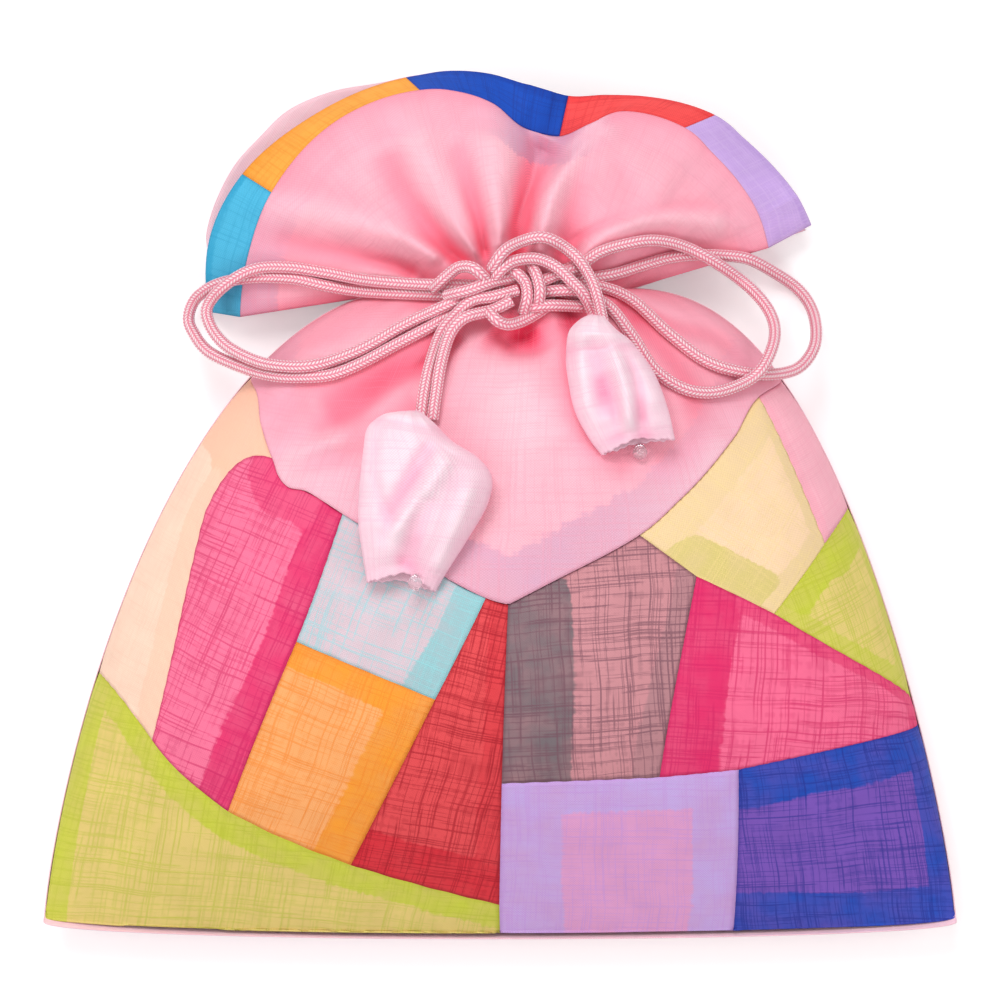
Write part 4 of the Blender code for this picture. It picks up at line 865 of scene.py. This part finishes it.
edge_gap = np.concatenate(
    [from_edge / (10 * MM), np.full(out_rows.shape, 2.0)], axis=1)
pink_band = np.clip(1.4 * np.maximum(1 - hem_gap, 1 - edge_gap) + 0.5, 0, 1)
hem_firm = 0.1 + 0.6 * np.exp(-((columns + 0.93) / 0.16) ** 2) + 0.75 * np.exp(
    -((columns - 0.06) / 0.15) ** 2)
edge_firm = 0.2 + 0.6 * np.exp(-((columns - 0.08) / 0.25) ** 2)
pink_firm = np.where(hem_gap < edge_gap, hem_firm[:, None], edge_firm[:, None])
run_u = columns[:, None] * HALF_CLOTH * np.ones((1, pink_grid.shape[1]))
run_v = np.cumsum(np.concatenate([np.zeros((PINK_COLUMNS, 1)), np.linalg.norm(
    np.diff(pink_grid, axis=1), axis=-1)], axis=1), axis=1) + starts[:, None] * BODY_LENGTH
pink_seam = 0.35 * np.clip(1 - edge_gap * 10 / 0.8, 0, 1)

# Pink cloth: its middle colour runs from a painted highlight on ridges (0) to painted shade in
# hollows and under the knot (1).
pink_look = slub_look(
    "pink slub cloth", (0.97, 0.45, 0.54), (0.64, 0.37, 0.52), (0.9, 0.3, 0.42), 0.24, 50, 0.13,
    ((0.0, (0.97, 0.57, 0.65)), (0.3, (0.97, 0.42, 0.52)), (0.55, (0.97, 0.26, 0.36)),
     (0.8, (0.94, 0.13, 0.22)), (1.0, (0.82, 0.04, 0.1))))
pink = make_sheet(
    "yoke_and_ruffle_cloth", pink_grid, (run_u, run_v), pink_look,
    (("painted_shade", painted_shade), ("band", pink_band), ("firm", pink_firm), ("seam", pink_seam)))
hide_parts("yoke_and_ruffle")
pink_area = sheet_area(pink_grid)

# Hem of the ruffle: five coloured strips of the same cloth, sewn on end to end and along the
# ruffle's edge, folded over to the back.
HEM_STRIPS = {
    "hem_cyan": (-1.0, -0.7, (0.075, 0.47, 0.72), (0.03, 0.36, 0.6), (0.02, 0.3, 0.52)),
    "hem_orange": (-0.7, -0.3, (0.95, 0.4, 0.06), (0.92, 0.33, 0.03), (0.75, 0.2, 0.01)),
    "hem_blue": (-0.3, 0.14, (0.006, 0.07, 0.47), (0.005, 0.05, 0.38), (0.01, 0.025, 0.22)),
    "hem_red": (0.14, 0.45, (0.92, 0.08, 0.08), (0.85, 0.045, 0.05), (0.6, 0.02, 0.03)),
    "hem_lavender": (0.45, 1.0, (0.56, 0.37, 0.75), (0.48, 0.31, 0.68), (0.68, 0.5, 0.82)),
}
for number, (name, (start, end, middle, band, thread)) in enumerate(HEM_STRIPS.items()):
    across = np.linspace(start, end, int(120 * (end - start)) + 30)
    out = np.linspace(1, 2, 26)
    across, out = np.meshgrid(across, out, indexing="ij")
    grid = ruffle_point(across, out)
    grid[..., 2] += pink_folds(ruffle_point(across, np.ones_like(out))) * (1 - 0.75 * (out - 1))
    u = across * HALF_CLOTH
    v = (out - 1) * HEM_BAND
    nearest = np.minimum(np.minimum(v, HEM_BAND - v), np.minimum(
        (across - start), (end - across)) * 60 * MM)
    grid[..., 2] += 0.4 * MM * (1 - np.exp(-nearest / (1.6 * MM)))
    look = slub_look(
        name.replace("hem_", "") + " hem cloth", middle, band, thread, 0.4, 31 + 5 * number)
    strip = make_sheet("sewn_" + name, grid, (u, v), look, (
        ("band", np.clip(1 - (HEM_BAND - v) / (3 * MM), 0, 1)), ("firm", np.full(v.shape, 0.8)),
        ("seam", 0.4 * np.clip(1 - nearest / (0.5 * MM), 0, 1))))
    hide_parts(name)
    area = sheet_area(grid)

# Back: one plain pale pink cloth from the base seam through the neck into the back ruffle. It
# rolls a little past the front at the base and shows behind the ruffle at the upper left.
# Its hem is read as the front hem's lines are: share across, direction, reach.
BACK_HEM_LINE = (
    (-1, 184, 1.5), (-0.88, 175, 1.56), (-0.8, 169.7, 1.614), (-0.66, 158, 1.585),
    (-0.55, 149.8, 1.527), (-0.46, 142.6, 1.483), (-0.38, 133.9, 1.384), (-0.3, 125, 1.27),
    (-0.2, 115, 1.195), (-0.08, 101, 1.07), (0.03, 89, 0.98), (0.14, 77, 0.95), (0.3, 58, 1.1),
    (0.45, 42.3, 1.255), (0.6, 34, 1.3), (0.8, 23, 1.39), (1, 12, 1.44),
)
back_hem_line = spline_through(np.array(BACK_HEM_LINE, float), 400)


def back_ruffle_point(across, out):
    """Back ruffle: straight runs from the neck to its hem, low over the table, with waves that
    grow towards the hem."""
    inner = out[..., None]
    neck = body_point(across, np.ones_like(across), above=False)
    angle = np.radians(np.interp(across, back_hem_line[:, 0], back_hem_line[:, 1]))
    reach = np.interp(across, back_hem_line[:, 0], back_hem_line[:, 2]) * RUFFLE_HEIGHT
    hem = np.stack([
        NECK_MIDDLE[0] + reach * np.cos(angle), NECK_MIDDLE[1] + reach * np.sin(angle),
        np.full_like(reach, BACK_HEM_HEIGHT)], axis=-1)
    point = neck * (1 - inner) + hem * inner
    point[..., 2] += out * MM * np.cos(math.pi * 4 * (across + 1))
    return point


across = np.sin(math.pi / 2 * np.linspace(-1, 1, 240))
up = 0.5 - 0.5 * np.cos(math.pi * np.linspace(0, 1, 130))
across_b, up_b = np.meshgrid(across, up, indexing="ij")
back_body = body_point(across_b, up_b, above=False)
across_r, out_r = np.meshgrid(across, np.linspace(0, 1, 60)[1:], indexing="ij")
back_grid = np.concatenate([back_body, back_ruffle_point(across_r, out_r)], axis=1)
back_look = slub_look(
    "pale pink slub cloth", (0.975, 0.62, 0.7), (0.97, 0.5, 0.6), (0.98, 0.75, 0.8), 0.3, 77)
back_u = np.concatenate([np.zeros((1, back_grid.shape[1])), np.cumsum(np.linalg.norm(
    np.diff(back_grid, axis=0), axis=-1), axis=0)], axis=0)
back_v = np.concatenate([np.zeros((240, 1)), np.cumsum(np.linalg.norm(
    np.diff(back_grid, axis=1), axis=-1), axis=1)], axis=1)
back = make_sheet("back_cloth", back_grid, (back_u, back_v), back_look, (
    ("band", np.zeros(back_grid.shape[:2])), ("seam", np.zeros(back_grid.shape[:2]))))
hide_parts("back_panel")
min(sheet_area(back_grid), 0.19 * 0.176)

# Lining: a front and a back sheet of thin pale pink cloth inside the outer cloths, left plain.
for name, above, low, lift in (
        ("lining_front", True, 0.06, -1.5 * MM), ("lining_back", False, 0.1, 1.5 * MM)):
    across = 0.95 * np.sin(math.pi / 2 * np.linspace(-1, 1, 90))
    across, up = np.meshgrid(across, np.linspace(low, 0.86, 60), indexing="ij")
    grid = body_point(across, up, above)
    normal = np.cross(np.gradient(grid, axis=0), np.gradient(grid, axis=1))
    grid = grid + lift * normal / np.linalg.norm(normal, axis=-1, keepdims=True)
    cloth = cloth_run(across, up, above)
    look = slub_look(name.replace("_", " ") + " cloth", (0.97, 0.66, 0.72),
                        (0.95, 0.6, 0.68), (0.98, 0.75, 0.8), 0.1, 90)
    lining = make_sheet(name + "_cloth", grid, cloth, look, (
        ("band", np.zeros(across.shape)), ("seam", np.zeros(across.shape))))
    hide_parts(name)
    cut, area = cut_size(cloth, sheet_area(grid))

# Cord: braided satin, 2.5 mm thick, tied in a bow over the neck. Each strand lies on the cloth,
# the table or the strands under it, and dips no steeper than a limp cord does.
CORD_DIAMETER = 2.5 * MM
BRAID_PITCH = 0.74 * MM
BRAID_ROWS = 8
DROP_SLOPE = 0.7
ROUTES = {
    "cord_left_outer": (
        (-5, -2.2), (-11, -2), (-19.8, -1.7), (-32, -0.9), (-41.6, 0.6), (-47.8, 2), (-54.7, 2.4),
        (-60, 2), (-65, 0.7), (-68.9, -2), (-70.2, -5.7), (-69.2, -8.8), (-65.6, -13.2),
        (-57.9, -16.8), (-51.8, -18.5), (-46, -18.9), (-39.9, -18.5), (-34, -16.3), (-25.9, -12),
        (-19.8, -8.8), (-13, -5.2), (-6, -3.6)),
    "cord_left_inner": (
        (-4, -1), (-11, 0), (-22, 0.4), (-32, 1.4), (-41, 3.2), (-49.5, 4.4), (-56.5, 3.9),
        (-62.6, 0.4), (-66, -3.6), (-65.4, -7.6), (-62, -11.9), (-55.8, -15.3), (-49.9, -16.6),
        (-43.9, -16.6), (-38, -15), (-32, -12.4), (-25.9, -8.8), (-19.8, -5.8), (-12, -2.8),
        (-5, -2.6)),
    "cord_right_outer": (
        (6, 0), (13.8, 1.8), (18.8, 2.7), (24.3, 4.5), (29.9, 6.2), (35.6, 7), (41.2, 7),
        (46.8, 6.4), (52.3, 3.9), (57.6, 0.4), (60.6, -4.8), (60.8, -11.3), (57.6, -16.2),
        (52.3, -18), (45, -17.8), (37.4, -15.5), (29.9, -9.9), (22.4, -2.8), (15.5, 0.1), (7, 1)),
    "cord_right_inner": (
        (5, 2), (11.9, 4.7), (15.7, 7), (20.7, 8.6), (27, 9.6), (33.7, 8.4), (41.2, 4.6),
        (47, 0.4), (51.2, -5.3), (51.8, -11), (48.6, -17.6), (43.1, -21), (37.4, -22.2),
        (31.8, -21), (26.4, -17), (21.8, -9.9), (16.2, -3.4), (7, -1)),
    "cord_tail_left_1": (
        (-1.4, -1.1), (-6.2, -2.4), (-10.6, -3.2), (-14, -6.1), (-17.1, -9.9), (-19.2, -15.9),
        (-20.5, -22), (-21.2, -28)),
    "cord_tail_left_2": (
        (-2.5, -3.2), (-6.2, -5.1), (-12.1, -6.8), (-15.2, -10.1), (-17, -15.9), (-18, -22),
        (-18.8, -28)),
    "cord_tail_right_1": (
        (-6.7, 3.3), (-4, 7), (-0.2, 9.1), (3.6, 9.8), (7.3, 8.5), (10.9, 5.6), (13.6, 1.4),
        (15.1, -2.8), (16, -7), (17, -12)),
    "cord_tail_right_2": (
        (-6, 1.6), (-4.4, 3.4), (-1.7, 5), (2.7, 5.4), (6.5, 3.7), (9.4, 1), (12.1, -1.9),
        (14, -5.3), (15.2, -9), (16, -12)),
}

# Knot: the wraps of the same cord, laid over each other in the order in which they are tied
KNOT_WRAPS = (
    ((-16, -2.2), (-11.5, -1.2), (-6.5, 0.6), (-1.5, 1.6), (3, 1.2)),
    ((-18.6, -0.5), (-15.8, 2), (-13.4, 3.6), (-10.6, 3.4), (-8, 1.2)),
    ((-7.4, -5.4), (-5.6, -7.4), (-3.4, -8.2), (-0.4, -7.4), (3.4, -5.2), (6, -3.2)),
    ((13.5, -1.2), (9, -1), (5, -1.3), (1, -2.2)),
    ((13.8, -4.4), (9, -4.2), (4.5, -4.2), (0, -4.6)),
    ((0.6, -0.8), (4, 1), (8, 2.6), (11, 3.4)),
    ((-3.6, 3.6), (-1.6, 2.4), (0.2, 0.4), (0.6, -2.4), (-0.2, -5.6)),
    ((1.2, 4.2), (2.4, 2.2), (3.2, -0.8), (3, -3.8)),
)


class Ground:
    """What a strand lies on: the table, the cloths and the strands laid before it."""

    def __init__(self):
        self.trees = [self.tree_of(item) for item in bpy.data.objects if (
            item.type == "MESH" and "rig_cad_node" not in item and item.name != "table")]

    def tree_of(self, item):
        bpy.context.view_layer.update()
        return BVHTree.FromObject(item, bpy.context.evaluated_depsgraph_get())

    def add(self, item):
        self.trees.append(self.tree_of(item))

    def height(self, x, y):
        hits = [tree.ray_cast(Vector((x, y, 0.2)), Vector((0, 0, -1)))[0] for tree in self.trees]
        return max([0.0] + [hit.z for hit in hits if hit is not None])

    def resting(self, x, y, radius):
        """Lowest height of a ball's middle that clears the ground under its rim and half rim."""
        best = self.height(x, y) + radius
        for share, count in ((0.55, 6), (0.95, 8)):
            rise = math.sqrt(1 - share * share) * radius
            for k in range(count):
                turn = 2 * math.pi * k / count
                best = max(best, rise + self.height(
                    x + share * radius * math.cos(turn), y + share * radius * math.sin(turn)))
        return best


def from_neck(places):
    """Places given in mm from the neck's middle, seen from above, in metres."""
    return np.array(places, float) * MM + NECK_MIDDLE


def laid_line(points, ground, dip=(0, 0)):
    """A route seen from above, laid over what is under it: it drops no steeper than the cord's
    slope, is smoothed by a running mean, and may tuck its first and last 3 mm under."""
    flat = spline_through(from_neck(points), 500)
    length = np.linalg.norm(np.diff(flat, axis=0), axis=1).sum()
    count = max(8, int(length / (1.1 * MM)))
    flat = spline_through(from_neck(points), count)
    rest = np.array([ground.resting(x, y, CORD_DIAMETER / 2) for x, y in flat])
    run = np.linspace(0, length, count)
    level = np.max(rest[None, :] - DROP_SLOPE * np.abs(run[:, None] - run[None, :]), axis=1)
    near = np.pad(level, 1, mode="edge")
    level = np.maximum(level, np.maximum(near[:-2], near[2:]))
    for _ in range(2):
        near = np.pad(level, 1, mode="edge")
        level = (near[:-2] + near[1:-1] + near[2:]) / 3
    for deep, away in zip(dip, (run, length - run)):
        level = level - deep * MM * np.clip(1 - away / (3 * MM), 0, 1) ** 1.5
    return np.column_stack([flat, level])


# Braid: rows of short slanted threads round the cord, each row half a thread on from the next
braid, take, made = new_group("braid", (
    ("Shadow", "NodeSocketColor", (0.5, 0.1, 0.2, 1)),
    ("Thread", "NodeSocketColor", (0.9, 0.4, 0.5, 1)),
    ("Shine", "NodeSocketColor", (1, 0.85, 0.88, 1)),
), (("Color", "NodeSocketColor"), ("Height", "NodeSocketFloat")))
row_at, thread_at = split_place(braid, flat_place(braid))
in_row = row_at.maths("FRACT") - 0.5
odd = row_at.maths("FLOOR").maths("MODULO", 2.0)
thread_at = thread_at + (odd * 0.5 + in_row * (odd * 2.0 - 1.0) * 0.9)
relief = (in_row * math.pi).maths("COSINE") * (
    thread_at * math.pi).maths("COSINE").maths("ABSOLUTE")
tone = mix_colours(braid, relief.step(0.05, 0.45), take["Shadow"], take["Thread"])
tone = mix_colours(braid, relief.step(0.5, 0.85, 0.9), tone, take["Shine"])
fill(braid, made, {"Color": tone, "Height": relief})

cord_look, tree, shader = new_look("braided satin cord", {"Roughness": 0.36, "Sheen Weight": 0.2})
wear_group(tree, shader, braid, {
    "Shadow": (0.8, 0.2, 0.29, 1), "Thread": (0.97, 0.46, 0.55, 1),
    "Shine": (1, 0.9, 0.92, 1)}, 0.8, 0.22 * MM)


def strand_grid(line):
    """A round profile carried along a line: rings of points at right angles to it, with a fine
    beat of 2.5% in their radius where one thread follows the next."""
    length = np.linalg.norm(np.diff(line, axis=0), axis=1).sum()
    count = int(length / (0.34 * MM)) + 4
    middle = spline_through(line, count)
    ahead = np.gradient(middle, axis=0)
    ahead /= np.linalg.norm(ahead, axis=1, keepdims=True)
    side = np.cross(ahead, (0, 0, 1.0))
    side /= np.maximum(np.linalg.norm(side, axis=1, keepdims=True), 1e-9)
    above = np.cross(side, ahead)
    turn = np.linspace(0, 2 * math.pi, 17)[None, :, None]
    run = np.linspace(0, length, count)[:, None, None]
    beat = 1 + 0.025 * np.cos(2 * math.pi * run / BRAID_PITCH + BRAID_ROWS / 2 * turn)
    ring = np.cos(turn) * side[:, None] + np.sin(turn) * above[:, None]
    grid = middle[:, None] + CORD_DIAMETER / 2 * beat * ring
    u = np.broadcast_to(turn[..., 0] / (2 * math.pi) * BRAID_ROWS * 0.01, grid.shape[:2])
    v = np.broadcast_to(run[..., 0] / BRAID_PITCH * 0.01, grid.shape[:2])
    return grid, (u, v), middle


def close_shell(piece, ends=False):
    """Merges the points that lie on each other, closes open ends with a flat face each where
    asked, and turns all faces outwards."""
    shell = bmesh.new()
    shell.from_mesh(piece.data)
    bmesh.ops.remove_doubles(shell, verts=shell.verts, dist=1e-6)
    if ends:
        rim = [edge for edge in shell.edges if edge.is_boundary]
        bmesh.ops.holes_fill(shell, edges=rim, sides=0)
    bmesh.ops.recalc_face_normals(shell, faces=shell.faces)
    shell.to_mesh(piece.data)
    shell.free()


def lay_strand(name, points, dip=(0, 0)):
    """A strand as a closed tube, laid on the ground and then part of it for the next."""
    grid, cloth, middle = strand_grid(laid_line(points, ground, dip))
    piece = make_sheet(name, grid, cloth, cord_look, wall=0)
    close_shell(piece, ends=True)
    piece.data.shade_smooth()
    ground.add(piece)
    return piece, middle


ground = Ground()
strands = {}
for name in ("cord_left_outer", "cord_left_inner", "cord_right_outer", "cord_right_inner",
             "cord_tail_left_1", "cord_tail_left_2"):
    strands[name] = lay_strand(name + "_braid", ROUTES[name])
wraps = [lay_strand("wrap_%d" % number, points, (2.4, 2.4))[0]
         for number, points in enumerate(KNOT_WRAPS)]
for name in ("cord_tail_right_2", "cord_tail_right_1"):
    strands[name] = lay_strand(name + "_braid", ROUTES[name], (2.0, 0))
with bpy.context.temp_override(active_object=wraps[0], selected_editable_objects=wraps):
    bpy.ops.object.join()
knot = wraps[0]
knot.name = "bow_knot_wraps"
knot.data.name = "bow_knot_wraps"
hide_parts("bow_knot", "cord_neck_left")

# Buds: each cord end is hidden in a tulip of pale pink cloth, gathered round the cord at its head
# and left open and raw at its mouth, where a small clear bead hangs on a thread.
BUD_THICKNESS = 12 * MM
BUD_WALL = 0.35 * MM
BUD_OUTLINES = {
    "left": (
        ((-25.6, -26.2), (-29, -27), (-32, -29.6), (-32.8, -34), (-33.6, -42), (-33.8, -48.5),
         (-33, -55), (-32, -61.1)),
        ((-21.5, -26), (-18.4, -28.6), (-14.6, -32.4), (-9.6, -35.6), (-6.6, -39.8),
         (-7.6, -45.5), (-11.5, -52.3), (-15.9, -59.2), (-18.2, -63))),
    "right": (
        ((13.4, -6.2), (11, -7.6), (9, -10), (8.5, -14), (8.6, -18), (10.1, -25.8),
         (13, -31.6), (15.7, -35.2)),
        ((16.2, -6.6), (19, -9.6), (22.4, -12.4), (26.6, -18.5), (29.3, -25.8), (30.7, -32))),
}
BUD_FOLDS = {
    "left": (
        (2.4, 1.8, 1.8, 2.8, ((-14.5, -34.5), (-17.4, -38.6), (-23, -46), (-28.2, -53.4))),
        (-2.0, 1.6, -1.6, 2.0, ((-18.5, -32), (-23.4, -40.5), (-27, -46.5), (-29, -51))),
        (-1.2, 1.0, -1.2, 1.0, ((-18, -37.2), (-23.6, -44.6), (-27.2, -49.4), (-29, -53))),
        (-0.8, 1.0, -1.2, 1.1, ((-30.6, -38), (-29, -44.4), (-27.2, -49.2))),
        (-1.6, 2.0, -1.8, 2.4, ((-19.5, -42), (-22.4, -50), (-24.6, -60))),
        (1.2, 1.6, 1.2, 1.6, ((-10, -40), (-14, -50), (-19, -61))),
        (-0.6, 1.0, -0.5, 1.0, ((-19, -32.6), (-13.8, -35.6), (-9, -38.6))),
        (-0.9, 1.1, -0.8, 1.3, ((-28.6, -27.6), (-30, -33), (-30.2, -39)))),
    "right": (
        (-1.4, 2.0, -2.6, 2.6, ((14.2, -13), (15.6, -20), (17.4, -29))),
        (-0.9, 1.0, -1.2, 1.0, ((16.2, -17), (18.2, -23.6), (19.2, -31))),
        (1.6, 1.3, 1.8, 1.5, ((17.6, -12), (20.2, -21), (21.6, -32))),
        (-0.9, 1.0, -1.2, 1.1, ((20.6, -14), (23.2, -22), (24, -32))),
        (0.8, 1.6, 1.2, 2.2, ((21, -10), (25.4, -18), (27.4, -28))),
        (0.9, 1.2, 0.8, 1.4, ((12, -9), (11.4, -18), (13.2, -29)))),
}
# Painted shade in the buds' hollows and at their mouths, given as the folds are, but as shares
BUD_SHADE_LINES = {
    "left": (
        (0.2, 1.5, 0.3, 1.8, ((-20, -37), (-24.4, -42.4), (-28, -48.6))),
        (0.3, 1.4, 0.3, 1.4, ((-28, -55), (-24, -57.4), (-19, -60.6))),
        (0.2, 2.2, 0.2, 2.6, ((-22.6, -50), (-21, -55), (-22, -60)))),
    "right": (
        (0.35, 1.6, 0.6, 2.2, ((14.6, -17.6), (15.6, -21.6), (17, -26.4))),
        (0.2, 1.4, 0.4, 1.8, ((23, -22), (23.8, -27), (25, -31))),
        (0.3, 1.2, 0.3, 1.2, ((15, -33), (21, -31.4), (29, -31)))),
}
MOUTH_NOTCH = {"left": 3.2 * MM, "right": 2.0 * MM}


def bud_grid(side, ground):
    """A flattened tube between two outlines seen from above: each ring is an ellipse from the
    left outline to the right, its thickness a sine bulge from head to mouth, laid on what is
    under it, with the folds on its upper half and a notch in each lip of the mouth. One more
    ring, drawn to a point, closes the head."""
    left, right = (spline_through(from_neck(line), 90) for line in BUD_OUTLINES[side])
    run = np.linspace(0, 1, 90)
    turn = np.linspace(0, 2 * math.pi, 121)
    across = np.cos(turn)
    lift = np.sin(turn)
    middle, half = (left + right) / 2, (right - left) / 2
    thick = BUD_THICKNESS / 2 * (0.26 + 0.74 * np.sin(math.pi * run ** 0.62) ** 0.8)
    thick = np.maximum(thick, BUD_THICKNESS / 2 * np.interp(
        run, (0, 0.5, 0.8, 1), (0.2, 0.7, 0.5, 0.36)))
    flat = middle[:, None] + half[:, None] * np.sign(across)[None, :, None] * np.abs(
        across)[None, :, None] ** 0.9
    ahead = np.gradient(middle, axis=0)
    ahead /= np.linalg.norm(ahead, axis=1, keepdims=True)
    lips = MOUTH_NOTCH[side] * (1 - np.abs(across) ** 0.8) * np.where(lift > 0, 1, 0.45)
    lips = lips + 0.25 * MM * np.sin(17 * turn) * np.sin(7 * turn + 1)
    flat = flat - ahead[:, None] * (lips[None, :] * run[:, None] ** 5)[..., None]
    under = np.array([max(ground.height(*(m + h * k)) for k in (-0.7, -0.35, 0, 0.35, 0.7))
                      for m, h in zip(middle[::6], half[::6])])
    under = np.interp(run, run[::6], under)
    drop = np.abs(run[:, None] - run[None, :]) * 24 * MM
    under = np.max(under[None, :] - drop, axis=1)
    level = under + 0.62 * thick + 0.3 * MM
    height = np.where(lift > 0, 1.25, 0.6)[None, :] * thick[:, None] * lift[None, :]
    folds = fold_heights(flat[..., 0], flat[..., 1], BUD_FOLDS[side])
    height = height + folds * np.clip(lift, 0, 1)[None, :] ** 0.7
    gathers = 0.35 * MM * np.sin(9 * turn)[None, :] * np.exp(-run / 0.2)[:, None]
    height = height + gathers * np.clip(lift, 0, 1)[None, :]
    grid = np.concatenate([flat, (level[:, None] + height)[..., None]], axis=2)
    head = np.broadcast_to(grid[:1].mean(axis=1, keepdims=True), grid[:1].shape)
    return np.concatenate([head, grid])


# Bud cloth: its middle colour runs from a painted highlight on ridges (0) to painted shade in
# hollows (1).
bud_look = slub_look(
    "bud cloth", (0.97, 0.68, 0.77), (0.92, 0.55, 0.68), (0.93, 0.5, 0.65), 0.35, 120, 0.12,
    ((0.0, (0.97, 0.74, 0.82)), (0.4, (0.96, 0.58, 0.7)), (1.0, (0.88, 0.27, 0.44))))
bead_look, _, _ = new_look("clear bead", {
    "Base Color": (0.99, 0.8, 0.86, 1), "Roughness": 0.06, "IOR": 1.45,
    "Transmission Weight": 0.75})
BEADS = {"left": (-22.2, -61.2), "right": (23.6, -34.6)}
BEAD_DIAMETER = 3 * MM

buds, beads = {}, {}
for side in ("left", "right"):
    grid = bud_grid(side, ground)
    run_along, turn_round = np.meshgrid(
        np.linspace(0, 1, grid.shape[0]), np.linspace(0, 1, grid.shape[1]), indexing="ij")
    # Painted shade of the bud: deeper where it lies below its smoothed surface and along its shade
    # lines, paler on its ridges.
    low = grid[..., 2]
    sunk = (smoothed(smoothed(low, 7), 7) - low) / (1.3 * MM) + (
        smoothed(low, 3) - low) / (0.4 * MM)
    shade_and_tint = fold_heights(grid[..., 0], grid[..., 1], BUD_SHADE_LINES[side]) / MM
    shade = np.clip(smoothed(0.22 + 0.36 * np.tanh(0.6 * sunk), 2) + shade_and_tint, 0, 1)
    bud = make_sheet("bud_%s_cloth" % side, grid, (turn_round * 55 * MM, run_along * 36 * MM),
                     bud_look, (
        ("painted_shade", shade), ("band", np.zeros(grid.shape[:2])),
        ("seam", 0.3 * np.clip((run_along - 0.985) / 0.015, 0, 1))), wall=0)
    close_shell(bud)
    thick = bud.modifiers.new("cloth wall", "SOLIDIFY")
    thick.thickness = BUD_WALL
    thick.offset = -1
    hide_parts("bud_" + side)
    ground.add(bud)
    buds[side] = bud
    x, y = from_neck(BEADS[side])
    level = ground.resting(x, y, BEAD_DIAMETER / 2)
    turn, rise = np.meshgrid(
        np.linspace(0, 2 * math.pi, 33), np.linspace(0, math.pi, 17), indexing="ij")
    drop = 1 + 0.25 * np.maximum(np.cos(rise), 0) ** 3
    grid = (x, y, level) + BEAD_DIAMETER / 2 * np.stack([
        np.sin(rise) * np.cos(turn), np.cos(rise) * drop, np.sin(rise) * np.sin(turn)], axis=-1)
    bead = make_sheet("bead_%s_clear" % side, grid[:, ::-1], (grid[..., 0], grid[..., 1]),
                      bead_look, wall=0)
    close_shell(bead)
    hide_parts("bead_" + side)
    beads[side] = bead

for name, (strand, middle) in strands.items():
    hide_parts(name)
    [tuple(point) for point in middle[::4]] + [tuple(middle[-1])]
